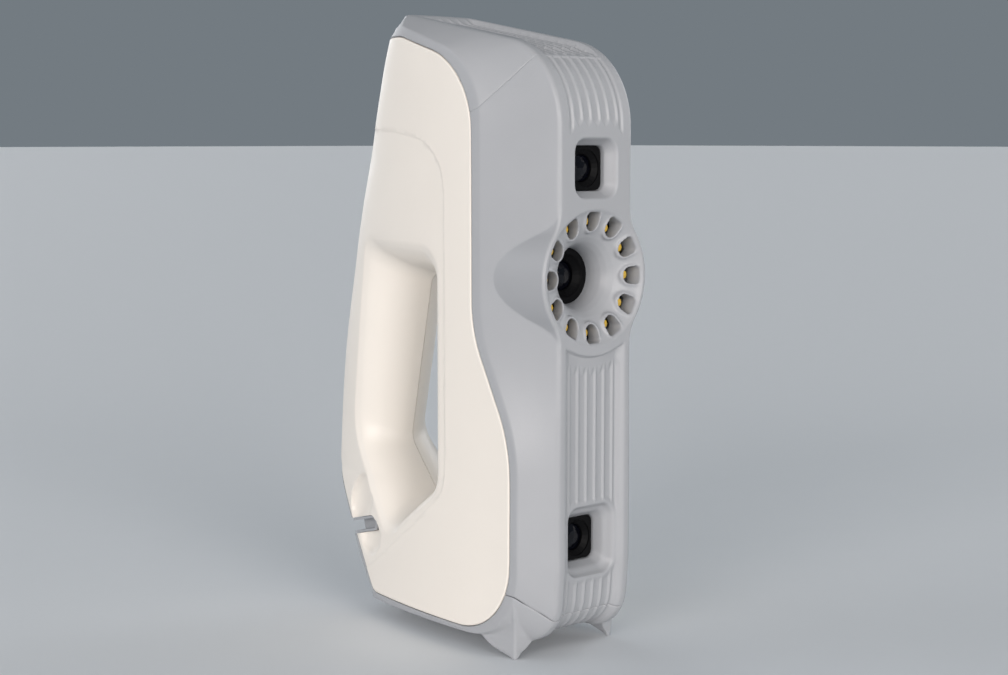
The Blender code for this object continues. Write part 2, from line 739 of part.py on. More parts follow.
def notch_liner():
    """The grey channel that lines the notch, with the neck that its groove runs round."""
    bm = bmesh.new()
    prism_mesh(bm, notch_outline(0), -32, 32, across)
    liner = mesh_object("notch_liner", bm, "grey_shell", (0, *notch_at(14)))
    bm = bmesh.new()
    prism_mesh(bm, notch_plan(-6.2, 0.9), -12, 12, in_notch)
    combine(liner, helper(bm), "INTERSECT")
    bm = bmesh.new()
    prism_mesh(bm, notch_outline(-1.0), -34, 34, across)
    groove = helper(bm)
    bm = bmesh.new()
    prism_mesh(bm, notch_plan(-8.3, NECK_DEPTH), -14, 14, in_notch)
    cutter = mesh_object("neck", bm, "grey_shell")
    combine(groove, cutter, "DIFFERENCE")
    combine(liner, groove, "DIFFERENCE")
    bm = bmesh.new()
    prism_mesh(bm, notch_plan(3.2, NECK_DEPTH + 2.2), -16, 16, in_notch)
    cut(liner, bm)


def covers():
    rows = [k * STATIONS / 46 for k in range(46)]
    for name, side in (("left_cover", -1), ("right_cover", 1)):
        cover = thick_grid(
            name, [cover_row(t, side) for t in rows], "cream_shell",
            closed=True, least_half=COVER_GAP / 2,
        )
        bm = bmesh.new()
        prism_mesh(bm, notch_outline(0.3), -40, 40, across)
        cut(cover, bm)


def rear_controls():
    """The rocker with its pin, the board with two plungers under it, and the status window."""
    place = tilted(BUTTON_Z)
    out = rear_frame(BUTTON_Z)[1]
    pivot = place @ Vector((0, 0, PIVOT_DEPTH))
    bm = bmesh.new()
    outline = rounded_box_outline(BUTTON_WIDTH / 2, BUTTON_LENGTH / 2, 4.2, 4)
    plate_mesh(bm, outline, -2.2, 1.5, place)
    hub = [(-3, -2.9), (3, -2.9), (3, 3.4), (-3, 3.4)]
    rocker = mesh_object("scan_button", bm, "aluminium", pivot)
    bm = bmesh.new()
    prism_mesh(bm, hub, -4.6, 4.6, lambda u, v, w: place @ Vector((w, u, v + PIVOT_DEPTH)))
    join(rocker, bm)
    bm = bmesh.new()
    lathe_mesh(bm, ((0, -9), (1.45, -9), (1.45, 9), (0, 9)), pivot, (1, 0, 0), 14)
    cut(rocker, bm)
    for v in (-9, 9):
        bm = bmesh.new()
        dimple = ((0, -3), (2.0, -3), (2.0, 0.7), (0, 0.7))
        lathe_mesh(bm, dimple, place @ Vector((0, v, 1.6)), out, 14)
        cut(rocker, bm)
    disc("button_pin", 1.15, -8.6, 8.6, pivot, (1, 0, 0), "steel", 12)

    bm = bmesh.new()
    board = [(-8, -15), (8, -15), (8, 15), (-8, 15)]
    plate_mesh(bm, board, -12.4, -11.0, place)
    switch_board = mesh_object("button_board", bm, "board", place @ Vector((0, 0, -11)))
    for v in (-BUTTON_ARM, BUTTON_ARM):
        bm = bmesh.new()
        ring = rounded_box_outline(3, 3, 0.4, 1)
        plate_mesh(bm, ring, -11.2, -8.2, place @ Matrix.Translation((0, v, 0)))
        join(switch_board, bm)
        bm = bmesh.new()
        bore = ((0, -2.4), (1.75, -2.4), (1.75, 4), (0, 4))
        lathe_mesh(bm, bore, place @ Vector((0, v, -8.2)), out, 12)
        cut(switch_board, bm)
    for name, v in (("stop_plunger", -BUTTON_ARM), ("start_plunger", BUTTON_ARM)):
        disc(name, 1.5, 0, 6.6, place @ Vector((0, v, -9.2)), out, "black_plastic", 12)

    bm = bmesh.new()
    plate_mesh(bm, rounded_box_outline(3.7, 1.3, 1.2, 3), -5.5, 0.1, tilted(STATUS_Z))
    mesh_object("status_window", bm, "light_pipe", tilted(STATUS_Z) @ Vector((0, 0, -1)))


def sockets():
    place = tilted(SOCKET_Z)
    out = rear_frame(SOCKET_Z)[1]
    shifted = place @ Matrix.Translation((-SOCKET_SHIFT, 0, 0))
    bm = bmesh.new()
    plate_mesh(bm, rounded_box_outline(5.2, 5.0, 0.7, 1), -12, -0.6, shifted)
    usb = mesh_object("data_socket", bm, "steel", shifted @ Vector((0, 0, -7)))
    bm = bmesh.new()
    plate_mesh(bm, rounded_box_outline(4.0, 3.8, 0.8, 1), -9, 1, shifted)
    cut(usb, bm)
    bm = bmesh.new()
    plate_mesh(bm, rounded_box_outline(2.6, 1.5, 0.2, 1), -9.5, -3.0, shifted)
    join(usb, bm)
    profile = (
        (0, -12), (4.5, -12), (4.5, -0.6), (3.3, -0.6), (3.3, -9), (1.0, -9), (1.0, -3.4), (0, -3.4),
    )
    lathe("power_jack", profile, place @ Vector((SOCKET_SHIFT, 0, 0)), out, "black_plastic", 20)


def front_optics():
    ring = Vector((0, FRONT, RING_Z))
    tube("flash_board", 26.1, 17.6, 9.6, 11.0, ring, (0, 1, 0), "board", 32)
    lamp = ((0, 9.3), (2.9, 9.3), (2.9, 7.6), (2.0, 7.6), (1.7, 6.2), (0, 5.6))
    for k in range(LED_COUNT):
        angle = math.tau * k / LED_COUNT
        seat = ring + Vector((LED_ORBIT * math.sin(angle), 0, LED_ORBIT * math.cos(angle)))
        lathe(f"flash_led_{k + 1:02d}", lamp, seat, (0, 1, 0), "phosphor", 8)
    barrel = ((6.2, 19.5), (8.2, 17.6), (8.8, 16.8), (11.3, 16.8), (11.3, 30), (6.2, 30))
    lathe("texture_camera_barrel", barrel, ring, (0, 1, 0), "black_plastic", 28)
    glass = ((0, 18.2), (3.2, 18.6), (5.9, 20), (5.9, 24), (0, 24))
    lathe("texture_camera_lens", glass, ring, (0, 1, 0), "lens_glass", 24)
    low, high = (-13, FRONT + 30.4, RING_Z - 13), (13, FRONT + 44, RING_Z + 13)
    box("texture_camera_body", low, high, "black_plastic", None, 1.0)
    for name, z, plate, back in (("upper_camera", UPPER_Z, 6.4, 11.4), ("lower_camera", LOWER_Z, 10.6, 15.9)):
        hood_seat = Vector((0, FRONT, z))
        half = WINDOW / 2 - 0.35
        bm = bmesh.new()
        prism_mesh(
            bm, rounded_box_outline(half, half, 2.8), FRONT + plate, FRONT + back + 0.5,
            lambda u, v, w: Vector((u, w, z + v)),
        )
        hood = mesh_object(name + "_hood", bm, "black_plastic", hood_seat)
        bm = bmesh.new()
        cone = ((0, -2), (7.6, -2), (7.6, 0.6), (5.6, 2.2), (5.6, 20), (0, 20))
        lathe_mesh(bm, cone, hood_seat + Vector((0, plate, 0)), (0, 1, 0), 24)
        cut(hood, bm)
        glass = ((0, 1.4), (2.6, 1.7), (5.3, 2.8), (5.3, 5.0), (0, 5.0))
        lathe(name + "_lens", glass, hood_seat + Vector((0, plate, 0)), (0, 1, 0), "lens_glass", 22)
        low, high = (-12, FRONT + back + 0.8, z - 12), (12, FRONT + back + 24, z + 12)
        box(name + "_body", low, high, "black_plastic", None, 1.0)


def inner_works():
    plate = box("chassis_plate", (-19, -32, 26), (19, -30, 224), "aluminium")
    bm = bmesh.new()
    for z in (75, 97, 119, 176, 218):
        lathe_mesh(bm, ((0, -6), (6, -6), (6, 6), (0, 6)), Vector((0, -31, z)), (0, 1, 0), 12)
    cut(plate, bm)
    board = box("main_board", (-17, -28.6, 40), (17, -27, 165), "board")
    bm = bmesh.new()
    chips = ((0, 120, 8, 2.4), (-8, 90, 4, 1.6), (7, 88, 5, 1.8), (0, 62, 6, 3.0), (-9, 146, 4, 2.2))
    for x, z, half, tall in chips:
        box_mesh(bm, (x - half, -27.3, z - half), (x + half, -27 + tall, z + half))
    join(board, bm)

    sink = box("heat_sink", (-15, -26, 176), (15, 2, 179), "aluminium")
    bm = bmesh.new()
    for k in range(8):
        x = -14 + k * 4
        box_mesh(bm, (x - 0.7, -26, 178), (x + 0.7, 2, 196))
    join(sink, bm)

    hub = Vector((0, FAN_Y, FAN_Z))
    frame = box("fan_frame", (-18, FAN_Y - 18, FAN_Z), (18, FAN_Y + 18, FAN_Z + 10), "black_plastic", hub)
    bm = bmesh.new()
    lathe_mesh(bm, ((0, 1.6), (16.6, 1.6), (16.6, 14), (0, 14)), hub, (0, 0, 1), 32)
    cut(frame, bm)
    bm = bmesh.new()
    for k in range(4):
        spin = Matrix.Rotation(math.tau * (k + 0.5) / 4, 4, "Z")
        verts = box_mesh(bm, (7, -4.6, -2), (15.6, 4.6, 4))
        bmesh.ops.transform(bm, matrix=Matrix.Translation(hub) @ spin, verts=verts)
    cut(frame, bm)
    bm = bmesh.new()
    lathe_mesh(bm, ((0, 1.0), (2, 1.0), (2, 7.5), (0, 7.5)), hub, (0, 0, 1), 12)
    join(frame, bm)

    rotor = lathe(
        "fan_rotor", ((2.4, 2.2), (6.4, 2.2), (6.4, 9.4), (0, 9.4), (0, 8.0), (2.4, 8.0)),
        hub, (0, 0, 1), "black_plastic", 20,
    )
    bm = bmesh.new()
    for k in range(7):
        spin = Matrix.Rotation(math.tau * k / 7, 4, "Z") @ Matrix.Rotation(math.radians(32), 4, "X")
        verts = box_mesh(bm, (5.6, -3.6, -0.5), (15.4, 3.6, 0.5))
        bmesh.ops.transform(bm, matrix=Matrix.Translation(hub + Vector((0, 0, 5.6))) @ spin, verts=verts)
    join(rotor, bm)
    foot = (
        (0, 0), (6.4, 0), (7, 0.8), (6.6, UNDERSIDE - 0.3), (3.0, UNDERSIDE - 0.3),
        (3.0, UNDERSIDE + 2.6), (0, UNDERSIDE + 2.6),
    )
    lathe("rear_foot", foot, (0, 22, 0), (0, 0, 1), "rubber", 20)


def shade():
    """Round faces look round, and edges sharper than 35 degrees stay sharp."""
    for obj in bpy.context.scene.collection.objects:
        obj.data.shade_smooth()
        obj.data.set_sharp_from_angle(angle=math.radians(35))


def centre_depth():
    """Moves everything so that the origin lies under the middle of the overall depth."""
    for obj in bpy.context.scene.collection.objects:
        obj.location.y += DEPTH_SHIFT * MM


def build():
    clear_scene()
    front_bezel()
    top_cap()
    rear_spine()
    bottom_cap()
    covers()
    notch_liner()
    rear_controls()
    sockets()
    front_optics()
    inner_works()
    shade()
    centre_depth()


build()
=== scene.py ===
"""Visual layer of the handheld scanner: moulded shells, flash ring, windows and materials on its frame."""

import json
import math

import bmesh
import bpy
import numpy as np
from mathutils import Matrix, Vector


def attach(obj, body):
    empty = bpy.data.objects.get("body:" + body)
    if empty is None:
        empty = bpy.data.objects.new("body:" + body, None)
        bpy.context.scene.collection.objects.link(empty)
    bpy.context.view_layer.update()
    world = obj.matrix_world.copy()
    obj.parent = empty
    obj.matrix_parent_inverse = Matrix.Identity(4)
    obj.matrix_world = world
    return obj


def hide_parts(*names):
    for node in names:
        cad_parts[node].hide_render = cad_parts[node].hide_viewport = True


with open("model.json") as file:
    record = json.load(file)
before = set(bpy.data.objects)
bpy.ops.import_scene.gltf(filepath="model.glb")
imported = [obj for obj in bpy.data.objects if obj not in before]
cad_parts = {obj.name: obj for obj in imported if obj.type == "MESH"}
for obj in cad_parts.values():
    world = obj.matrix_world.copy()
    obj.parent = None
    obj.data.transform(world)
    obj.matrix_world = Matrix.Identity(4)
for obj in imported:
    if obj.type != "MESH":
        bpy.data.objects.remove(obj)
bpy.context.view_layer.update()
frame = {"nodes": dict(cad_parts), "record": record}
MM = 0.001
VOXEL = 0.45

# Overall form in millimetres. Y runs from the front strip (minus) to the grip (plus), Z up from the feet.
FRONT = -79.8
UNDERSIDE = 6.4
WALL = 2.4
FRONT_WALL = 3.4
SIDE_HALF = 31.5
PANEL_RADIUS = 334.0
PANEL_FLAT_TO = -40.0
CREASE_DROP = 0.5
DEPTH_SHIFT = 1.9
CORNER_WEIGHT = 12.0
COVER_GAP = 0.3
COVER_EDGE = 0.7
SCOOP_POWER = 1.75
SEAM_GAP = 0.2
TOP_LAP = -0.4

# Outlines in the side view as (y, z, corner radius), from the front bottom corner upwards and round.
CENTRE_OUTLINE = (
    (-77.2, UNDERSIDE, 19), (FRONT, 38, 25), (FRONT, 242, 35.5), (17, 260.2, 5), (27, 250.5, 5),
    (70.3, 141, 400), (77, 60.5, 14), (40.4, UNDERSIDE, 8),
)
EDGE_OUTLINE = (
    (-77.2, UNDERSIDE, 19), (FRONT, 38, 25), (FRONT, 242, 35.5), (16.4, 260, 5), (25.8, 250.2, 5),
    (68.9, 141, 400), (75.4, 60.6, 12.5), (39.8, UNDERSIDE, 8),
)
CREASE_OUTLINE = (
    (-67.4, 7, 30), (-67.4, 87.5, 60), (-45.5, 131.3, 50), (-45.2, 238.3, 32), (8, 254.5, 20),
    (22.5, 252.4, 4), (67.3, 141, 400), (73.4, 60.8, 11.5), (39, 7, 7),
)
COVER_OUTLINE = (
    (-63.1, 9, 30), (-63.1, 87.4, 60), (-40.8, 131.2, 50), (-40.5, 236.7, 34), (7, 250, 20),
    (21.5, 249.8, 4), (66.6, 141, 400), (72.6, 61, 11), (33, 10, 6),
)
SCOOP_OUTLINE = ((-19.7, 62, 14), (-19.7, 166, 13), (41, 165, 9), (53.5, 80, 30), (21, 34.5, 9))
HOLE_OUTLINE = ((-10, 66, 10), (-10, 151, 12), (19, 151, 8), (34, 76, 10), (13, 50, 8))

# The same stations marked on every outline: seams, corners and points between them.
CENTRE_KEYS = (
    (-75.6, 17.5), (-79.8, 75), (-79.8, 120), (-79.8, 165), (-64.5, 238.1), (-25, 252.5), (17, 260.2),
    (27, 250.5), (62.7, 157), (77, 62), (64.6, 42), (54.5, 27), (40.4, 6.4), (-10, 6.4),
)
CREASE_KEYS = (
    (-66, 26), (-66.8, 80), (-51, 121), (-45.4, 165), (-45.3, 220.5), (-15, 248), (10, 254.5),
    (22.5, 252.4), (59.5, 157), (73.4, 62), (61.6, 42), (53.5, 29.5), (39, 7), (-10, 7),
)
COVER_KEYS = (
    (-58.8, 27.5), (-62.6, 80), (-46.6, 120), (-40.8, 165), (-39, 218.6), (-12, 244.7), (9, 250),
    (21.5, 249.8), (59, 157), (72.6, 62), (58.6, 43), (50.1, 32), (33, 10), (-10, 9.4),
)
SCOOP_KEYS = (
    (-19.7, 60), (-19.7, 90), (-19.7, 118), (-19.7, 142), (-19.7, 166), (4, 166), (22, 165.5),
    (41, 165), (46, 130), (53.5, 80), (43, 62), (32, 48), (21, 34.5), (-2, 49.5),
)
HOLE_KEYS = (
    (-10, 64), (-10, 84), (-10, 108), (-10, 130), (-10, 151), (2, 151), (10, 151),
    (19, 151), (24, 124), (34, 76), (27, 68), (20, 60), (13, 50), (0, 59),
)
STRIP_HALVES = (20, 20, 20, 20, 20, 19.5, 17, 11, 6, 6, 11, 12, 20, 22)
BACK_ROUNDING = ((0, 120), (22, 100), (38, 55), (60, 12.25), (150, 14), (200, 22), (240, 40), (262, 40))
BOTTOM_SEAM, TOP_SEAM, CAP_REAR, SPINE_FOOT = 0, 4, 7.15, 10.6
STATIONS = len(CENTRE_KEYS)

# Front face features. Along the strip, distances run up from the ring's height.
RING_Z = 153.0
RING_RADIUS = 29.0
LED_COUNT = 12
LED_ORBIT = 22.3
POCKET_WIDTH = 7.4
POCKET_LENGTH = 7.6
UPPER_Z = 196.2
LOWER_Z = 46.9
WINDOW = 18.0
RIB_PITCH = 4.9
RIB_DEPTH = 0.7
RIBS_HALF = 14.6
CHANNEL_DEPTH = 2.2
CHANNEL_FOOT = -201.0
TOP_CHANNEL_DEPTH = 2.0
SLOT_PITCH = 5.6
SLOT_DEPTH = 1.5
LAMP_CHIP = 0.32

# Rear features.
BUTTON_Z = 192.0
BUTTON_LENGTH = 27.0
BUTTON_WIDTH = 10.0
STATUS_Z = 219.0
SOCKET_Z = 45.5
SOCKET_SHIFT = 6.0
NOTCH_END = (31.0, 41.1)
NOTCH_TILT = 14.0
NOTCH_HEIGHT = 6.6
NOTCH_GROW = 0.25

# A foot from the floor up: height, outer edge across and along, reach to the rear, inwards and ahead.
FOOT_LEVELS = (
    (0.0, 27.6, -62.5, 1.7, 1.7, 0.0), (1.1, 27.7, -62.6, 5.0, 2.5, 0.1), (2.4, 27.8, -62.7, 8.8, 3.5, 0.3),
    (4.0, 27.9, -62.8, 12.6, 5.6, 0.9), (6.6, 28.1, -63.0, 17.0, 7.8, 1.8),
    (9.2, 28.3, -63.2, 20.5, 7.0, 2.2), (12.2, 28.6, -63.5, 21.5, 5.5, 1.8),
    (15.4, 29.2, -64.0, 14.0, 4.2, 1.2), (18.7, 30.1, -64.6, 7.0, 3.4, 0.7),
    (22.4, 30.7, -65.1, 3.0, 2.6, 0.1),
)

# Profile of the trumpet-shaped dish: distance from the ring's axis, and depth behind the front.
DISH = (
    (27.1, -0.06), (26.5, 0.5), (25.5, 1.2), (23.5, 2.05), (21.0, 3.0), (18.5, 4.2), (16.0, 6.0), (14.2, 8.0),
    (12.9, 10.2), (12.0, 12.6), (11.5, 14.6), (11.3, 17.0),
)

# Line that bounds the grip, from the lower rear edge round to the upper one, and how far its inside sinks.
GRIP_LINE = (
    (60, 5.5), (39.8, 19.3), (28.2, 26.2), (17.3, 33.6), (7.3, 40.3), (-2.1, 46.6), (-12.3, 55.1),
    (-19.2, 60.6), (-22.6, 66), (-23.5, 74), (-23.5, 186), (-22.6, 193), (-19.6, 199), (-14, 204.4),
    (-7.7, 207.7), (7.7, 210.1), (26, 211.6), (44, 212),
)
GRIP_SINK = 0.2

# Hollows beside the notch: middle, half lengths, depth, and lean of the long axis.
HOLLOWS = ((44.5, 49.5, 10.5, 12.0, 4.2, -0.35), (35.8, 34.6, 9.5, 8.6, 3.6, -0.1))

# Soft lights: turn from the left side towards the front and rise above the level in degrees, the angle that
# the light spans, strength and colour.
LIGHTS = (
    ("front", 75, 9, 30, 1.98, (1.0, 0.955, 0.92)),
    ("left", 22, 9, 35, 1.94, (1.0, 0.945, 0.915)),
    ("rear", -40, 18, 30, 0.36, (0.95, 0.97, 1.0)),
    ("right", 178, 14, 40, 0.85, (0.97, 0.98, 1.0)),
    ("back", 262, 14, 40, 0.75, (0.97, 0.98, 1.0)),
)
SKY_COLOUR = (0.78, 0.9, 1.0, 1)
SKY_STRENGTH = 0.22
FLOOR_HALF = 40.0
LENS = 66.39
CAMERA_PLACE = (-0.5248, -0.59085, 0.20796)
CAMERA_PITCH = -6.1176
CAMERA_TURN = -42.81


# ---------------------------------------------------------------- outlines


def keyed(values, tau):
    """A value given at whole stations, read between them."""
    low = math.floor(tau)
    share = tau - low
    return values[low % len(values)] * (1 - share) + values[(low + 1) % len(values)] * share


def rounded(corners, arc_step=math.radians(2.5), edge_step=2.0):
    """The closed outline of a polygon with rounded corners, as close-set points."""
    points = []
    for i, (y, z, radius) in enumerate(corners):
        corner = Vector((y, z))
        back = (Vector(corners[i - 1][:2]) - corner).normalized()
        ahead = (Vector(corners[(i + 1) % len(corners)][:2]) - corner).normalized()
        half = back.angle(ahead) / 2
        centre = corner + (back + ahead).normalized() * (radius / math.sin(half))
        first = corner + back * (radius / math.tan(half)) - centre
        last = corner + ahead * (radius / math.tan(half)) - centre
        start = math.atan2(first.y, first.x)
        turn = math.remainder(math.atan2(last.y, last.x) - start, math.tau)
        count = max(6, math.ceil(abs(turn) / arc_step))
        for k in range(count + 1):
            angle = start + turn * k / count
            points.append(centre + Vector((math.cos(angle), math.sin(angle))) * radius)
    dense = []
    for a, b in zip(points, points[1:] + points[:1]):
        pieces = max(1, math.ceil((b - a).length / edge_step))
        dense += [a.lerp(b, k / pieces) for k in range(pieces)]
    return dense


class Outline:
    """A closed outline with the stations marked on it, read at any station."""

    def __init__(self, corners, keys):
        self.points = rounded(corners)
        count = len(self.points)
        self.reach = [0.0]
        for i in range(count):
            here = self.points[(i + 1) % count] - self.points[i]
            after = self.points[(i + 2) % count] - self.points[(i + 1) % count]
            self.reach.append(self.reach[-1] + here.length + CORNER_WEIGHT * here.angle(after, 0.0))
        self.total = self.reach[-1]
        self.marks = []
        for key in keys:
            nearest = min(range(count), key=lambda i: (self.points[i] - Vector(key)).length)
            mark = self.reach[nearest]
            while self.marks and mark < self.marks[-1] - self.total / 2:
                mark += self.total
            self.marks.append(mark)
        self.marks.append(self.marks[0] + self.total)
        closed = self.points + self.points[:1]
        self.ys = np.array([p.x for p in closed])
        self.zs = np.array([p.y for p in closed])
        self.steps = np.array(self.reach)

    def at(self, tau):
        tau = tau % STATIONS
        low = min(int(tau), STATIONS - 1)
        where = self.marks[low] + (self.marks[low + 1] - self.marks[low]) * (tau - low)
        where = where % self.total
        return Vector((np.interp(where, self.steps, self.ys), np.interp(where, self.steps, self.zs)))


CENTRE = Outline(CENTRE_OUTLINE, CENTRE_KEYS)
EDGE = Outline(EDGE_OUTLINE, CENTRE_KEYS)
CREASE = Outline(CREASE_OUTLINE, CREASE_KEYS)
COVER = Outline(COVER_OUTLINE, COVER_KEYS)
SCOOP = Outline(SCOOP_OUTLINE, SCOOP_KEYS)
HOLE = Outline(HOLE_OUTLINE, HOLE_KEYS)
BACK = sorted((p.y, p.x) for p in CENTRE.points if p.x > 20)
BACK_Z = np.array([p[0] for p in BACK])
BACK_Y = np.array([p[1] for p in BACK])
ROUND_Z = [p[0] for p in BACK_ROUNDING]
ROUND_R = [p[1] for p in BACK_ROUNDING]


def side_half(y, z):
    """Half the width of the body at points of the side view, behind the front flare."""
    y, z = np.asarray(y, float), np.asarray(z, float)
    panel = SIDE_HALF - np.maximum(0.0, y - PANEL_FLAT_TO) ** 2 / (2 * PANEL_RADIUS)
    depth = np.maximum(0.4, np.interp(z, BACK_Z, BACK_Y) - y)
    back = np.sqrt(2 * np.interp(z, ROUND_Z, ROUND_R) * depth)
    return (panel**-6 + back**-6) ** (-1 / 6)


def back_at(z):
    """How far back the centre outline reaches at this height."""
    return float(np.interp(z, BACK_Z, BACK_Y))


# ---------------------------------------------------------------- mesh helpers


def to_object(name, bm):
    """A mesh in millimetres about the part's middle made into an object in metres."""
    bmesh.ops.remove_doubles(bm, verts=bm.verts, dist=1e-5)
    bmesh.ops.recalc_face_normals(bm, faces=bm.faces)
    if bm.calc_volume(signed=True) < 0:
        bmesh.ops.reverse_faces(bm, faces=bm.faces)
    bmesh.ops.translate(bm, verts=bm.verts, vec=(0, DEPTH_SHIFT, 0))
    bmesh.ops.scale(bm, verts=bm.verts, vec=(MM, MM, MM))
    mesh = bpy.data.meshes.new(name)
    bm.to_mesh(mesh)
    bm.free()
    obj = bpy.data.objects.new(name, mesh)
    bpy.context.scene.collection.objects.link(obj)
    return obj


def bake(obj):
    """Turns the object's modifiers into its mesh."""
    bpy.context.view_layer.update()
    graph = bpy.context.evaluated_depsgraph_get()
    made = bpy.data.meshes.new_from_object(obj.evaluated_get(graph))
    obj.modifiers.clear()
    old = obj.data
    obj.data = made
    bpy.data.meshes.remove(old)


def combine(obj, operation, shape, *measures):
    """Joins a shape to the object, or cuts it out."""
    bm = bmesh.new()
    shape(bm, *measures)
    tool = to_object("tool", bm)
    modifier = obj.modifiers.new("join", "BOOLEAN")
    modifier.operation = operation
    modifier.solver = "EXACT"
    modifier.object = tool
    bake(obj)
    bpy.data.objects.remove(tool, do_unlink=True)


def soften(obj, rounds):
    """Rebuilds the surface on a fine grid and relaxes it, so that edges look moulded."""
    remesh = obj.modifiers.new("grid", "REMESH")
    remesh.mode = "VOXEL"
    remesh.voxel_size = VOXEL * MM
    smooth = obj.modifiers.new("relax", "SMOOTH")
    smooth.factor = 0.5
    smooth.iterations = rounds
    bake(obj)


def smooth_shade(obj, angle):
    """Shades a mesh smooth, but keeps edges sharper than the angle, if one is given."""
    mesh = obj.data
    mesh.polygons.foreach_set("use_smooth", [True] * len(mesh.polygons))
    if angle:
        bm = bmesh.new()
        bm.from_mesh(mesh)
        limit = math.radians(angle)
        for edge in bm.edges:
            edge.smooth = not (edge.is_manifold and edge.calc_face_angle(0.0) > limit)
        bm.to_mesh(mesh)
        bm.free()
    mesh.update()


def box_mesh(bm, low, high):
    made = bmesh.ops.create_cube(bm, size=1.0)["verts"]
    bmesh.ops.scale(bm, verts=made, vec=Vector(high) - Vector(low))
    bmesh.ops.translate(bm, verts=made, vec=(Vector(low) + Vector(high)) / 2)
    return made


def lathe_mesh(bm, profile, axis_point, axis, segments):
    """Turns a closed profile of (radius, distance along the axis) round the axis."""
    turn = Vector((0, 0, 1)).rotation_difference(Vector(axis)).to_matrix().to_4x4()
    place = Matrix.Translation(axis_point) @ turn
    rings = []
    for radius, height in profile:
        if radius < 1e-6:
            rings.append([bm.verts.new(place @ Vector((0, 0, height)))])
            continue
        ring = []
        for k in range(segments):
            angle = math.tau * k / segments
            spot = Vector((radius * math.cos(angle), radius * math.sin(angle), height))
            ring.append(bm.verts.new(place @ spot))
        rings.append(ring)
    for a, b in zip(rings, rings[1:] + rings[:1]):
        for k in range(segments):
            corners = [a[k % len(a)], a[(k + 1) % len(a)], b[(k + 1) % len(b)], b[k % len(b)]]
            unique = list(dict.fromkeys(corners))
            if len(unique) > 2:
                bm.faces.new(unique)


def loft_mesh(bm, rings):
    """A closed body through rings of points with the same count."""
    rows = [[bm.verts.new(p) for p in ring] for ring in rings]
    bm.faces.new(rows[0])
    bm.faces.new(rows[-1][::-1])
    for a, b in zip(rows, rows[1:]):
        for k in range(len(a)):
            n = (k + 1) % len(a)
            bm.faces.new((a[k], a[n], b[n], b[k]))


def prism_mesh(bm, outline, low, high, put):
    """A closed outline of (u, v) drawn out between low and high, each corner placed by put(u, v, w)."""
    loft_mesh(bm, [[put(u, v, low) for u, v in outline], [put(u, v, high) for u, v in outline]])


def rounded_box_outline(half_u, half_v, radius, steps):
    points = []
    for su, sv, start in ((1, 1, 0), (-1, 1, 90), (-1, -1, 180), (1, -1, 270)):
        for k in range(steps + 1):
            angle = math.radians(start + 90 * k / steps)
            u = su * (half_u - radius) + radius * math.cos(angle)
            v = sv * (half_v - radius) + radius * math.sin(angle)
            points.append((u, v))
    return points


def smoothstep(low, high, x):
    """Eases from 0 at low to 1 at high; low may be the larger."""
    t = np.clip((x - low) / (high - low), 0.0, 1.0)
    return t * t * (3 - 2 * t)


# ---------------------------------------------------------------- shells


def bend(before, corner, after, length, steps):
    """Points of a curve round a corner, which takes up to this length of each straight run beside it."""
    start = corner + (before - corner).normalized() * min(length, (before - corner).length * 0.45)
    end = corner + (after - corner).normalized() * min(length, (after - corner).length * 0.45)
    points = []
    for k in range(steps + 1):
        t = k / steps
        points.append(start * (1 - t) ** 2 + corner * (2 * t * (1 - t)) + end * t**2)
    return points


def panel_normal(y, z):
    """Which way the side panel faces at a point of the side view."""
    step = 0.4
    slope_y = float(side_half(y + step, z) - side_half(y - step, z)) / (2 * step)
    slope_z = float(side_half(y, z + step) - side_half(y, z - step)) / (2 * step)
    return Vector((1, -slope_y, -slope_z)).normalized()


def rim_half(tau):
    """The outer surface of the grey rim from the centre line to a cover's edge, with its inner side."""
    centre, edge = CENTRE.at(tau), EDGE.at(tau)
    crease, cover = CREASE.at(tau), COVER.at(tau)
    crease_half = float(side_half(*crease)) - CREASE_DROP
    cover_half = float(side_half(*cover))
    half = min(keyed(STRIP_HALVES, tau), crease_half - 2.5)
    ahead = (CENTRE.at(tau + 0.01) - CENTRE.at(tau - 0.01)).normalized()
    inward = Vector((ahead.y, -ahead.x))
    p0 = Vector((0, centre.x, centre.y))
    p1 = Vector((half, edge.x, edge.y))
    p2 = Vector((crease_half, crease.x, crease.y))
    p3 = Vector((cover_half, cover.x, cover.y))
    turn_in = bend(p0, p1, p2, 1.5 if half > 15 else 1.1, 3)
    turn_out = bend(p1, p2, p3, 0.7, 2)
    outer = [p0, p0.lerp(turn_in[0], 0.5)] + turn_in
    outer += [turn_in[-1].lerp(turn_out[0], share) for share in (0.33, 0.67)]
    outer += turn_out + [p3]
    skew = Vector((0, inward.x, inward.y))
    deep = Vector((max(half - FRONT_WALL, half * 0.5), centre.x, centre.y)) + skew * FRONT_WALL
    middle = Vector((0, deep.y, deep.z))
    under = panel_normal(cover.x, cover.y) * WALL
    inner = [middle, deep, (p2 - under) * 0.5 + deep * 0.5, p3 - under]
    return outer, inner


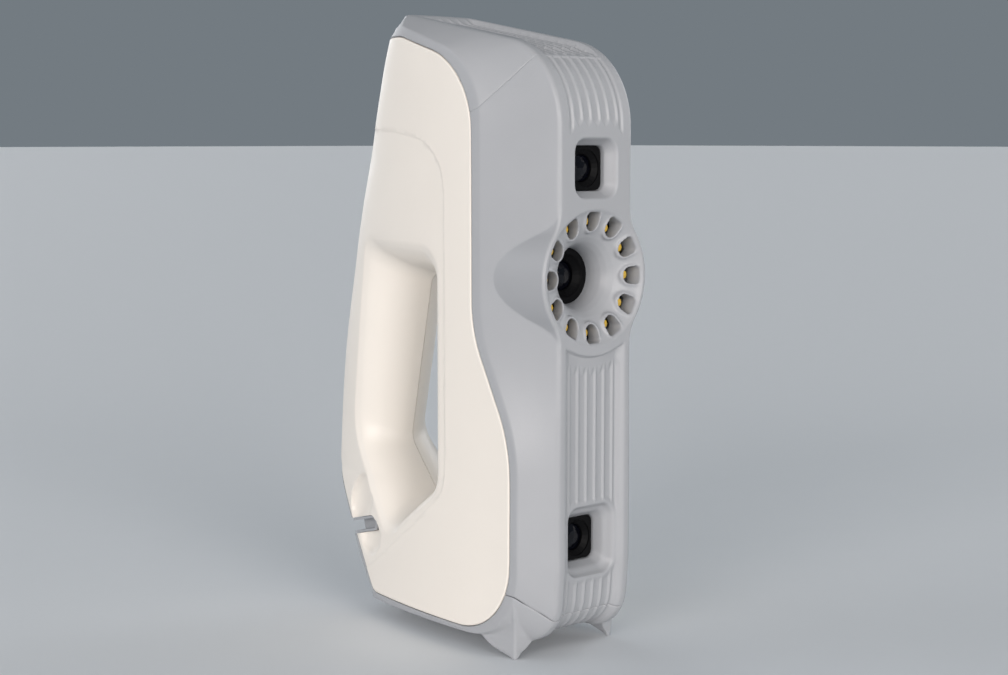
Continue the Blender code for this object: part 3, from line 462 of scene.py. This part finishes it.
def rim_shell(name, start, end, count, ends=(SEAM_GAP, SEAM_GAP)):
    """A closed shell of the grey rim between two stations."""
    probe = (CENTRE.at(start + 0.05) - CENTRE.at(start)).length / 0.05
    first = start + ends[0] / 2 / probe
    probe = (CENTRE.at(end) - CENTRE.at(end - 0.05)).length / 0.05
    last = end - ends[1] / 2 / probe
    bm = bmesh.new()
    loops = []
    for k in range(count + 1):
        outer, inner = rim_half(first + (last - first) * k / count)
        loop = [Vector((-p.x, p.y, p.z)) for p in outer[:0:-1]] + outer
        loop += inner[:0:-1] + [inner[0]] + [Vector((-p.x, p.y, p.z)) for p in inner[1:]]
        loops.append([bm.verts.new(p) for p in loop])
    for a, b in zip(loops, loops[1:]):
        for k in range(len(a)):
            n = (k + 1) % len(a)
            bm.faces.new((a[k], a[n], b[n], b[k]))
    bm.faces.new(loops[0])
    bm.faces.new(loops[-1][::-1])
    bmesh.ops.triangulate(bm, faces=[f for f in bm.faces if len(f.verts) > 4])
    return to_object(name, bm)


PATH = np.stack([CENTRE.ys[:-1], CENTRE.zs[:-1]], 1)
PATH_NEXT = np.roll(PATH, -1, 0)
PATH_STEP = np.linalg.norm(PATH_NEXT - PATH, axis=1)
PATH_REACH = np.concatenate([[0.0], np.cumsum(PATH_STEP)[:-1]])


def along_and_under(y, z):
    """Distance along the centre outline from its first point, depth under it, and its inward normal."""
    along, under = np.empty(len(y)), np.empty(len(y))
    inward = np.empty((len(y), 2))
    edge = PATH_NEXT - PATH
    at_once = 20000
    for low in range(0, len(y), at_once):
        part = slice(low, low + at_once)
        here = np.stack([y[part], z[part]], 1)[:, None, :] - PATH[None]
        share = np.clip((here * edge).sum(2) / (PATH_STEP**2), 0, 1)
        gap = here - share[:, :, None] * edge[None]
        away = (gap**2).sum(2)
        best = away.argmin(1)
        rows = np.arange(len(best))
        normal = np.stack([edge[best, 1], -edge[best, 0]], 1) / PATH_STEP[best][:, None]
        inward[part] = normal
        under[part] = (gap[rows, best] * normal).sum(1)
        along[part] = PATH_REACH[best] + share[rows, best] * PATH_STEP[best]
    return along, under, inward


def along_to(y, z):
    """Distance along the centre outline to one point of it."""
    return along_and_under(np.array([y]), np.array([z]))[0][0]


ALONG_RING = along_to(FRONT, RING_Z)
ALONG_TOTAL = PATH_STEP.sum()
SEAM_UP = along_to(*CENTRE_KEYS[TOP_SEAM]) - ALONG_RING


def box_distance(x, u, half_x, half_u, radius):
    """Signed distance from a rounded rectangle about the origin."""
    qx = np.abs(x) - half_x + radius
    qu = np.abs(u) - half_u + radius
    outside = np.hypot(np.maximum(qx, 0), np.maximum(qu, 0))
    return outside + np.minimum(np.maximum(qx, qu), 0) - radius


def strip_depth(x, u):
    """How far the front strip is sunk at x across it and u along it from the ring's height."""
    ridge = np.abs((x / RIB_PITCH - 0.5) - np.round(x / RIB_PITCH - 0.5)) * RIB_PITCH
    trough = smoothstep(0.22, 0.95, ridge) * (0.88 + 0.12 * smoothstep(0.8, 2.45, ridge))
    in_ribs = smoothstep(RIBS_HALF + 0.3, RIBS_HALF - 0.3, np.abs(x))
    # Lower channel, from an arc under the ring, round the bottom and under the body.
    radial = np.hypot(x, u)
    slope = 1 - smoothstep(12.6, 17.4, np.abs(x))
    top_end = smoothstep(30.9, 31.9, radial) * (u < 0)
    bottom_end = smoothstep(CHANNEL_FOOT - 5, CHANNEL_FOOT + 5, u)
    channel = CHANNEL_DEPTH * slope * top_end * bottom_end
    window = box_distance(x, u - (LOWER_Z - RING_Z), 12.6, 14.4, 5.2)
    round_window = smoothstep(0.9, 3.2, window)
    scallop = smoothstep(34.0, 37.5, radial - 0.9 * ridge)
    low_ribs = RIB_DEPTH * trough * in_ribs * scallop * round_window * (u < 0) * bottom_end
    # Upper ribs, cut into the flat strip, over the rounded top and along it.
    start = 58.8 - 3.2 * smoothstep(11.4, 12.6, np.abs(x)) + 0.9 * (2.45 - ridge)
    up = smoothstep(start, start + 3.2, u)
    on_top = smoothstep(SEAM_UP + 0.5, SEAM_UP + 9, u)
    seam = 1 - smoothstep(0.7, 0.3, np.abs(u - SEAM_UP))
    rear_end = smoothstep(SEAM_UP + 83, SEAM_UP + 74, u)
    rear_scallop = smoothstep(SEAM_UP + 76, SEAM_UP + 70, u)
    top_channel = TOP_CHANNEL_DEPTH * on_top * rear_end * (1 - smoothstep(14.2, 15.6, np.abs(x)))
    cross = np.abs(((u - SEAM_UP) / SLOT_PITCH) % 1.0 - 0.5) * SLOT_PITCH
    slots = SLOT_DEPTH * on_top * rear_scallop * smoothstep(1.5, 0.7, SLOT_PITCH / 2 - cross - 1.2)
    high_ribs = RIB_DEPTH * (1 + 0.5 * on_top) * up * rear_end * seam * trough * in_ribs
    grille = slots * trough * in_ribs * (u > SEAM_UP + 1)
    return channel + low_ribs + high_ribs + top_channel + grille


def sink_strip(obj):
    """Moves the points of the front strip inwards by the depth of its channel and ribs."""
    mesh = obj.data
    spots = np.empty(len(mesh.vertices) * 3)
    mesh.vertices.foreach_get("co", spots)
    spots = spots.reshape(-1, 3) / MM
    spots[:, 1] -= DEPTH_SHIFT
    along, under, inward = along_and_under(spots[:, 1], spots[:, 2])
    u = (along - ALONG_RING + ALONG_TOTAL * 0.4) % ALONG_TOTAL - ALONG_TOTAL * 0.4
    skin = smoothstep(7.0, 1.2, under)
    depth = strip_depth(spots[:, 0], u) * skin * (np.abs(spots[:, 0]) < 18.5)
    spots[:, 1] += inward[:, 0] * depth + DEPTH_SHIFT
    spots[:, 2] += inward[:, 1] * depth
    mesh.vertices.foreach_set("co", (spots * MM).ravel())
    mesh.update()


def pocket_outline(grow=0.0):
    """The D shape of a lamp pocket: round towards the ring's middle, square outside."""
    half = POCKET_WIDTH / 2 + grow
    inner = LED_ORBIT - POCKET_LENGTH / 2 - grow
    outer = LED_ORBIT + POCKET_LENGTH / 2 + grow
    corner = 1.7 + grow * 0.7
    points = []
    for k in range(7):
        angle = math.pi / 2 * k / 6
        points.append((half - corner + corner * math.cos(angle), outer - corner + corner * math.sin(angle)))
    for k in range(7):
        angle = math.pi / 2 + math.pi / 2 * k / 6
        points.append((corner - half + corner * math.cos(angle), outer - corner + corner * math.sin(angle)))
    for k in range(17):
        angle = math.pi + math.pi * k / 16
        points.append((half * 0.94 * math.cos(angle), inner + half + half * math.sin(angle)))
    return points


def ring_spin(k):
    return Matrix.Rotation(math.tau * k / LED_COUNT, 3, "Y")


def ring_put(spin, u, v, w):
    """Places (across a pocket, out from the ring's axis, depth) on the ring."""
    return spin @ Vector((u, w, v)) + Vector((0, 0, RING_Z))


def front_bezel():
    bezel = rim_shell("front_bezel_skin", BOTTOM_SEAM, TOP_SEAM, 120, (SEAM_GAP, TOP_LAP))
    ring_centre = Vector((0, FRONT, RING_Z))
    opening = ((0, -6), (27.5, -6), (27.5, 30), (0, 30))
    combine(bezel, "DIFFERENCE", lathe_mesh, opening, ring_centre, (0, 1, 0), 96)
    rim = ((RING_RADIUS, 33.0), (RING_RADIUS, 1.0), (28.75, 0.3), (28.25, -0.06))
    rear = (
        (11.3, 19.0), (13.4, 19.0), (13.9, 16.0), (15.6, 11.0), (18.0, 8.4), (21, 7.0), (26.3, 6.6),
        (26.6, 8.0), (26.6, 33.0),
    )
    combine(bezel, "UNION", lathe_mesh, rim + DISH + rear, ring_centre, (0, 1, 0), 144)
    for side in (-1, 1):
        for up in (-1, 1):
            combine(bezel, "UNION", web_mesh, side, up)
    for z, half, down, up, deep in ((UPPER_Z, 14, 14, 13, 11), (LOWER_Z, 14.5, 15.5, 15.5, 15.5)):
        combine(bezel, "UNION", box_mesh, (-half, FRONT + 3, z - down), (half, FRONT + deep, z + up))
    for k in range(LED_COUNT):
        combine(bezel, "UNION", collar_mesh, ring_spin(k))
    combine(bezel, "DIFFERENCE", window_mesh, UPPER_Z, 11.1, 11.2, 4.9, 16.0)
    combine(bezel, "DIFFERENCE", window_mesh, LOWER_Z, 12.1, 13.9, 9.9, 20.0)
    for k in range(LED_COUNT):
        spin = ring_spin(k)
        combine(
            bezel, "DIFFERENCE", prism_mesh, pocket_outline(), FRONT - 2, FRONT + 9.2,
            lambda u, v, w: ring_put(spin, u, v, w),
        )
    soften(bezel, 2)
    sink_strip(bezel)
    smooth_shade(bezel, 0)
    return bezel


def collar_mesh(bm, spin):
    """The raised edge round a lamp pocket, which follows the slope of the dish."""
    rings = []
    for grow, sink in ((0.5, 0.0), (0.95, 0.3), (1.2, 0.9)):
        ring = []
        for u, v in pocket_outline(grow):
            top = 0.55 + 0.27 * max(0.0, 26.4 - v) + sink
            ring.append(ring_put(spin, u, v, FRONT + top))
        rings.append(ring)
    rings.append([ring_put(spin, u, v, FRONT + 8.2) for u, v in pocket_outline(1.2)])
    loft_mesh(bm, rings)


def window_mesh(bm, centre_z, half_x, half_z, deep, through):
    """A camera window: a flared mouth in the front face that narrows to a square throat."""
    layers = (
        (half_x + 1.6, half_z + 1.6, 6.4, -2.0), (half_x + 1.0, half_z + 1.0, 6.0, 0.0),
        (half_x + 0.35, half_z + 0.35, 5.5, 0.7), (half_x - 0.2, half_z - 0.2, 5.0, 1.8),
        (WINDOW / 2, WINDOW / 2, 3.2, deep), (WINDOW / 2, WINDOW / 2, 3.2, through),
    )
    rings = []
    for across_half, up_half, radius, depth in layers:
        outline = rounded_box_outline(across_half, up_half, radius, 8)
        rings.append([Vector((u, FRONT + depth, centre_z + v)) for u, v in outline])
    loft_mesh(bm, rings)


def web_mesh(bm, side, up):
    """A web that blends the ring's outline into an edge of the strip."""
    web = web_outline(side, up)
    rings = []
    for depth, shrink in ((-0.04, 0.7), (0.33, 0.25), (1.0, 0.0), (34, 0.0)):
        rings.append([Vector((u - side * shrink * push, FRONT + depth, v)) for u, v, push in web])
    loft_mesh(bm, rings)


def web_outline(side, up):
    """The area between the strip's edge and the ring, closed by a concave arc that touches both."""
    radius = 17.0
    strip = 20.0
    root = RING_RADIUS - 1
    centre_x = strip + radius
    centre_z = math.sqrt((RING_RADIUS + radius) ** 2 - centre_x**2)
    touch = Vector((centre_x, centre_z)) * (RING_RADIUS / (RING_RADIUS + radius))
    points = [(strip - 4, centre_z, 0.0), (strip, centre_z, 1.0)]
    end = math.atan2(touch.y - centre_z, touch.x - centre_x)
    turn = math.remainder(end - math.pi, math.tau)
    for k in range(1, 17):
        angle = math.pi + turn * k / 16
        points.append((centre_x + radius * math.cos(angle), centre_z + radius * math.sin(angle), 1.0))
    first = math.atan2(touch.y, touch.x)
    last = math.acos((strip - 4) / root)
    for k in range(9):
        angle = first + (last - first) * k / 8
        points.append((root * math.cos(angle), root * math.sin(angle), 0.0))
    return [(side * u, RING_Z + up * v, push) for u, v, push in points]


def top_cap():
    cap = rim_shell("top_cap_skin", TOP_SEAM, CAP_REAR, 76, (TOP_LAP, SEAM_GAP))
    soften(cap, 2)
    sink_strip(cap)
    smooth_shade(cap, 0)
    return cap


def foot_mesh(bm, side):
    """A spur foot: an upright outer edge, with a facet to the rear and one to the front."""
    rings = []
    for z, x, y, back, inner, front in FOOT_LEVELS:
        rear = max(27.4 + 2.6 * smoothstep(2.0, 16.0, back), x - inner * 0.4)
        ring = [
            (x - 0.6, y - 0.05), (x, y + 0.6), (rear, y + back), (x - inner * 0.55, y + back * 0.9),
            (x - inner, y + back * 0.35), (x - inner, y - front),
        ]
        rings.append([Vector((side * u, v, z)) for u, v in ring])
    loft_mesh(bm, rings)


def bottom_cap():
    cap = rim_shell("bottom_cap_skin", SPINE_FOOT, STATIONS, 90)
    for side in (-1, 1):
        combine(cap, "UNION", foot_mesh, side)
    cut_notch(cap)
    stud_hole = ((0, -8), (3.3, -8), (3.3, 8), (0, 8))
    combine(cap, "DIFFERENCE", lathe_mesh, stud_hole, Vector((0, 22, UNDERSIDE)), (0, 0, 1), 32)
    soften(cap, 2)
    sink_strip(cap)
    settle(cap)
    smooth_shade(cap, 0)
    return cap


def settle(obj):
    """Brings the worn-down tips of the feet back to the floor."""
    mesh = obj.data
    spots = np.empty(len(mesh.vertices) * 3)
    mesh.vertices.foreach_get("co", spots)
    spots = spots.reshape(-1, 3)
    spots[:, 2] -= spots[:, 2].min() * smoothstep(0.003, 0.0008, spots[:, 2])
    mesh.vertices.foreach_set("co", spots.ravel())
    mesh.update()


def rear_frame(z):
    """Where the spine's centre line is at this height, and which way it faces."""
    low, high = back_at(z - 2), back_at(z + 2)
    return Vector((0, back_at(z), z)), Vector((0, 4, low - high)).normalized()


def tilted(z):
    """Places (across, up the spine, out of it) at a point of the spine."""
    point, out = rear_frame(z)
    up = Vector((0, -out.z, out.y))
    return Matrix((
        (1, up.x, out.x, point.x), (0, up.y, out.y, point.y), (0, up.z, out.z, point.z), (0, 0, 0, 1),
    ))


def notch_at(reach, rise=0.0):
    """A point of the notch in the side view, so far behind its front end and so far above its middle."""
    turn = math.radians(NOTCH_TILT)
    y = NOTCH_END[0] + reach * math.cos(turn) + rise * math.sin(turn)
    return y, NOTCH_END[1] - reach * math.sin(turn) + rise * math.cos(turn)


def notch_outline(grow):
    """The side view of the notch: open to the rear, round at its front end."""
    half = NOTCH_HEIGHT / 2 + grow
    points = [notch_at(45, -half), notch_at(45, half)]
    for k in range(25):
        angle = math.pi / 2 + math.pi * k / 24
        points.append(notch_at(NOTCH_HEIGHT / 2 + half * math.cos(angle), half * math.sin(angle)))
    return points


def across(u, v, w):
    return Vector((w, u, v))


def cut_notch(obj):
    combine(obj, "DIFFERENCE", prism_mesh, notch_outline(NOTCH_GROW), -40, 40, across)


def cut_plate(obj, outline, low, high, place):
    """Cuts a flat-sided recess whose floor is square to the spine."""
    combine(obj, "DIFFERENCE", prism_mesh, outline, low, high, lambda u, v, w: place @ Vector((u, v, w)))


def rear_spine():
    spine = rim_shell("rear_spine_skin", CAP_REAR, SPINE_FOOT, 110)
    recess = rounded_box_outline(BUTTON_WIDTH / 2 + 0.5, BUTTON_LENGTH / 2 + 0.5, 4.5, 8)
    cut_plate(spine, recess, -6.0, 5.0, tilted(BUTTON_Z))
    cut_plate(spine, rounded_box_outline(4.0, 1.6, 1.5, 5), -6, 4, tilted(STATUS_Z))
    socket = tilted(SOCKET_Z)
    left_of_it = socket @ Matrix.Translation((-SOCKET_SHIFT, 0, 0))
    cut_plate(spine, rounded_box_outline(5.5, 5.3, 0.8, 3), -8, 4, left_of_it)
    hole = ((0, -8), (4.8, -8), (4.8, 4), (0, 4))
    right_of_it = socket @ Vector((SOCKET_SHIFT, 0, 0))
    combine(spine, "DIFFERENCE", lathe_mesh, hole, right_of_it, rear_frame(SOCKET_Z)[1], 48)
    cut_notch(spine)
    soften(spine, 3)
    smooth_shade(spine, 0)
    return spine


def grip_side(y, z):
    """Signed distance from the line that bounds the grip, above zero inside it."""
    y, z = np.asarray(y, float), np.asarray(z, float)
    best, sign = np.full(y.shape, 1e9), np.ones(y.shape)
    for (ay, az), (by, bz) in zip(GRIP_LINE, GRIP_LINE[1:]):
        dy, dz = by - ay, bz - az
        share = np.clip(((y - ay) * dy + (z - az) * dz) / (dy * dy + dz * dz), 0, 1)
        gap_y, gap_z = y - ay - share * dy, z - az - share * dz
        away = np.hypot(gap_y, gap_z)
        near = away < best
        best = np.where(near, away, best)
        sign = np.where(near, np.sign(dz * gap_y - dy * gap_z), sign)
    return best * sign


def score_grip(bm):
    """Adds edges along the grip's bounding line, and sinks the skin inside it by a hair."""
    for (ay, az), (by, bz) in zip(GRIP_LINE, GRIP_LINE[1:]):
        along = Vector((0, by - ay, bz - az))
        across_line = Vector((0, along.z, -along.y)).normalized()
        middle = Vector((0, (ay + by) / 2, (az + bz) / 2))
        for offset in (-0.16, 0.16):
            near = []
            for face in bm.faces:
                gap = face.calc_center_median() - middle
                gap.x = 0
                if abs(gap.dot(across_line)) < 4 and abs(gap.dot(along.normalized())) < along.length / 2 + 3:
                    near.append(face)
            geom = near + list({e for f in near for e in f.edges}) + list({v for f in near for v in f.verts})
            bmesh.ops.bisect_plane(
                bm, geom=geom, dist=1e-4, plane_co=middle + across_line * offset, plane_no=across_line,
            )
    spots = np.array([v.co for v in bm.verts])
    half = side_half(spots[:, 1], spots[:, 2])
    skin = smoothstep(1.6, 0.9, half - np.abs(spots[:, 0])) * (half > 12)
    drop = GRIP_SINK * smoothstep(-0.16, 0.16, grip_side(spots[:, 1], spots[:, 2])) * skin
    for vert, fall in zip(bm.verts, drop):
        vert.co.x -= math.copysign(fall, vert.co.x)


def cover_half_width(y, z, fade=1.0):
    """The cover's half width with the hollows above and below the notch."""
    half = side_half(y, z)
    for cy, cz, ry, rz, deep, lean in HOLLOWS:
        inside = 1 - ((y - cy - (z - cz) * lean) / ry) ** 2 - ((z - cz) / rz) ** 2
        half = half - fade * deep * np.sqrt(np.clip(inside, 0, 1)) * smoothstep(0.0, 0.2, inside)
    return half


def bulk(y, z):
    """Extra wall behind the hollows beside the notch."""
    away = math.hypot(y - 40, (z - 42) * 0.8)
    return 6.0 * float(smoothstep(25, 15, away))


def scoop_half_width(edge_half, share):
    """Half width of the scoop, from the panel's edge round to the middle of the hand hole."""
    return max(0.0, edge_half * max(0.0, 1 - share**SCOOP_POWER) ** (1 / SCOOP_POWER))


def cover_outside(c, s, h):
    """Points of a cover's outer face from its rim over the panel and down the scoop."""
    length = (s - c).length
    inset = COVER_GAP / length
    edge = c.lerp(s, inset)
    edge_half = float(cover_half_width(edge.x, edge.y))
    into = (s - c).normalized()
    points = []
    for k in range(5):
        angle = math.pi / 2 * k / 4
        along = edge + into * (COVER_EDGE * (1 - math.cos(angle)))
        drop = COVER_EDGE * (1 - math.sin(angle))
        points.append(Vector((edge_half - drop, along.x, along.y)))
    start = inset + COVER_EDGE * 1.6 / length
    shares = start + (1 - start) * np.linspace(0, 1, 27)
    ys = c.x + (s.x - c.x) * shares
    zs = c.y + (s.y - c.y) * shares
    halves = cover_half_width(ys, zs, smoothstep(0.4, 2.2, (1 - shares) * length))
    points += [Vector((x, y, z)) for x, y, z in zip(halves, ys, zs)]
    for k in range(1, 23):
        share = 1 - (1 - k / 22) ** 1.15
        p = s.lerp(h, share)
        x = scoop_half_width(float(halves[-1]), share)
        points.append(Vector((max(COVER_GAP / 2, x), p.x, p.y)))
    return points


def cover_inside(c, s, h, scoop_half):
    """Points of a cover's inner face, from its rim to the middle of the hand hole."""
    points = []
    for share in (COVER_GAP / (s - c).length, 0.1, 0.3, 0.6, 0.85):
        p = c.lerp(s, share)
        points.append(Vector((float(side_half(p.x, p.y)) - WALL - bulk(p.x, p.y), p.x, p.y)))
    for share, deep in ((0.2, 2.2), (0.7, 2.2), (1.0, 2.0)):
        p = s.lerp(h, share) + (s - h).normalized() * (deep * share + 0.4)
        x = scoop_half_width(scoop_half, share) - 2.2 * (1 - share)
        points.append(Vector((max(COVER_GAP / 2, x), p.x, p.y)))
    return points


def cover(name, side, stations=300):
    """A cover from its rim to the middle of the hand hole, as one closed shell."""
    bm = bmesh.new()
    loops = []
    for i in range(stations):
        tau = i * STATIONS / stations
        c, s, h = COVER.at(tau), SCOOP.at(tau), HOLE.at(tau)
        outer = cover_outside(c, s, h)
        scoop_half = float(cover_half_width(s.x, s.y, 0.0))
        loop = outer + cover_inside(c, s, h, scoop_half)[::-1]
        loops.append([bm.verts.new((side * p.x, p.y, p.z)) for p in loop])
    for a, b in zip(loops, loops[1:] + loops[:1]):
        for k in range(len(a)):
            n = (k + 1) % len(a)
            bm.faces.new((a[k], a[n], b[n], b[k]))
    score_grip(bm)
    obj = to_object(name, bm)
    cut_notch(obj)
    smooth_shade(obj, 38)
    return obj


# ---------------------------------------------------------------- materials


def noise(tree, scale, detail):
    """A noise over the object's own coordinates."""
    where = tree.nodes.new("ShaderNodeTexCoord")
    made = tree.nodes.new("ShaderNodeTexNoise")
    made.inputs["Scale"].default_value = scale
    made.inputs["Detail"].default_value = detail
    tree.links.new(where.outputs["Object"], made.inputs["Vector"])
    return made.outputs["Fac"]


def spread(tree, source, source_range, target_range):
    """Maps a value from one range to another."""
    ramp = tree.nodes.new("ShaderNodeMapRange")
    ends = ("From Min", "From Max", "To Min", "To Max")
    for end, value in zip(ends, source_range + target_range):
        ramp.inputs[end].default_value = value
    tree.links.new(source, ramp.inputs["Value"])
    return ramp.outputs["Result"]


def shader(
    name, colour, roughness, metallic=0.0, grain=0.0, grain_scale=2200.0, mottle=0.0, coat=0.0, shine=0.5,
):
    """A moulded or machined finish: a little mottling, uneven gloss and a fine grain."""
    made = bpy.data.materials.new(name)
    made.use_nodes = True
    tree = made.node_tree
    bsdf = tree.nodes["Principled BSDF"]
    bsdf.inputs["Metallic"].default_value = metallic
    bsdf.inputs["Coat Weight"].default_value = coat
    bsdf.inputs["Specular IOR Level"].default_value = shine
    bsdf.inputs["Coat Roughness"].default_value = 0.08
    broad = noise(tree, 38.0, 4.0)
    uneven = spread(tree, broad, (0.3, 0.7), (max(0.02, roughness - 0.05), roughness + 0.05))
    tree.links.new(uneven, bsdf.inputs["Roughness"])
    mix = tree.nodes.new("ShaderNodeMix")
    mix.data_type = "RGBA"
    mix.inputs[6].default_value = [c * (1 - mottle) for c in colour] + [1]
    mix.inputs[7].default_value = [min(1.0, c * (1 + mottle)) for c in colour] + [1]
    tree.links.new(broad, mix.inputs[0])
    tree.links.new(mix.outputs[2], bsdf.inputs["Base Color"])
    bump = tree.nodes.new("ShaderNodeBump")
    bump.inputs["Strength"].default_value = grain
    bump.inputs["Distance"].default_value = 0.0001
    tree.links.new(noise(tree, grain_scale, 2.0), bump.inputs["Height"])
    tree.links.new(bump.outputs["Normal"], bsdf.inputs["Normal"])
    return made


def lamp():
    """A yellow phosphor chip, round in the middle of a black lamp body."""
    made = shader("lamp_phosphor", (0.85, 0.55, 0.06), 0.3, grain=0.1, mottle=0.1, coat=0.6)
    tree = made.node_tree
    bsdf = tree.nodes["Principled BSDF"]
    yellow = bsdf.inputs["Base Color"].links[0].from_socket
    where = tree.nodes.new("ShaderNodeTexCoord")
    middle = tree.nodes.new("ShaderNodeVectorMath")
    middle.operation = "SUBTRACT"
    middle.inputs[1].default_value = (0.5, 0.5, 0.5)
    tree.links.new(where.outputs["Generated"], middle.inputs[0])
    flat = tree.nodes.new("ShaderNodeVectorMath")
    flat.operation = "MULTIPLY"
    flat.inputs[1].default_value = (1, 0, 1)
    tree.links.new(middle.outputs["Vector"], flat.inputs[0])
    away = tree.nodes.new("ShaderNodeVectorMath")
    away.operation = "LENGTH"
    tree.links.new(flat.outputs["Vector"], away.inputs[0])
    rim = spread(tree, away.outputs["Value"], (LAMP_CHIP, LAMP_CHIP + 0.03), (0.0, 1.0))
    mix = tree.nodes.new("ShaderNodeMix")
    mix.data_type = "RGBA"
    mix.inputs[7].default_value = (0.006, 0.006, 0.006, 1)
    tree.links.new(rim, mix.inputs[0])
    tree.links.new(yellow, mix.inputs[6])
    tree.links.new(mix.outputs[2], bsdf.inputs["Base Color"])
    return made


def paint(obj, made):
    obj.data.materials.clear()
    obj.data.materials.append(made)


# ---------------------------------------------------------------- build


def dress():
    looks = {
        "grey_shell": shader("moulded_grey", (0.379, 0.387, 0.405), 0.40, grain=0.35, mottle=0.03),
        "cream_shell": shader("moulded_cream", (0.855, 0.8, 0.73), 0.38, grain=0.18, mottle=0.012),
        "black_plastic": shader(
            "moulded_black", (0.0035, 0.0035, 0.004), 0.46, grain=0.4, mottle=0.1, shine=0.1,
        ),
        "lens_glass": shader("coated_glass", (0.002, 0.0024, 0.005), 0.07, mottle=0.2, coat=0.1, shine=0.25),
        "aluminium": shader("satin_aluminium", (0.6, 0.61, 0.63), 0.34, metallic=1.0, grain=0.3, mottle=0.05),
        "steel": shader("plated_steel", (0.5, 0.5, 0.52), 0.28, metallic=1.0, grain=0.2, mottle=0.06),
        "board": shader("board_black", (0.008, 0.011, 0.009), 0.45, grain=0.4, mottle=0.2),
        "phosphor": lamp(),
        "rubber": shader("foot_rubber", (0.05, 0.05, 0.052), 0.75, grain=0.8, mottle=0.15),
        "light_pipe": shader("status_clear", (0.72, 0.78, 0.82), 0.2, grain=0.05, mottle=0.03, coat=0.5),
    }
    slots = {entry["node"]: entry["material_slot"] for entry in frame["record"]["subparts"]}
    for name, obj in frame["nodes"].items():
        paint(obj, looks[slots[name]])
        smooth_shade(obj, 32)
    made = {
        "front_bezel": front_bezel(),
        "top_cap": top_cap(),
        "bottom_cap": bottom_cap(),
        "rear_spine": rear_spine(),
        "left_cover": cover("left_cover_skin", -1),
        "right_cover": cover("right_cover_skin", 1),
    }
    for node, obj in made.items():
        paint(obj, looks[slots[node]])
        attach(obj, "scanner_body")
        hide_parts(node)


def stage():
    bm = bmesh.new()
    bmesh.ops.create_grid(bm, x_segments=2, y_segments=2, size=FLOOR_HALF)
    mesh = bpy.data.meshes.new("floor")
    bm.to_mesh(mesh)
    bm.free()
    floor = bpy.data.objects.new("floor", mesh)
    bpy.context.scene.collection.objects.link(floor)
    paint(floor, shader("floor_paper", (0.79, 0.81, 0.83), 0.85, grain=0.1, grain_scale=300.0, mottle=0.01))
    world = bpy.data.worlds.new("studio")
    bpy.context.scene.world = world
    world.use_nodes = True
    sky = world.node_tree.nodes["Background"]
    sky.inputs["Color"].default_value = SKY_COLOUR
    sky.inputs["Strength"].default_value = SKY_STRENGTH
    for name, turn, rise, angle, strength, colour in LIGHTS:
        data = bpy.data.lights.new(name, "SUN")
        data.angle = math.radians(angle)
        data.energy = strength
        data.color = colour
        light = bpy.data.objects.new(name, data)
        turn, rise = math.radians(turn), math.radians(rise)
        aim = Vector((math.cos(turn) * math.cos(rise), math.sin(turn) * math.cos(rise), -math.sin(rise)))
        light.rotation_euler = aim.to_track_quat("-Z", "Y").to_euler()
        bpy.context.scene.collection.objects.link(light)


def camera():
    data = bpy.data.cameras.new("camera")
    data.lens = LENS
    data.sensor_width = 36.0
    data.dof.use_dof = False
    data.clip_start = 0.01
    obj = bpy.data.objects.new("camera", data)
    obj.location = CAMERA_PLACE
    obj.rotation_euler = (math.radians(90 + CAMERA_PITCH), 0, math.radians(CAMERA_TURN))
    bpy.context.scene.collection.objects.link(obj)
    bpy.context.scene.camera = obj
    bpy.context.scene.view_settings.view_transform = "Standard"


dress()
stage()
camera()
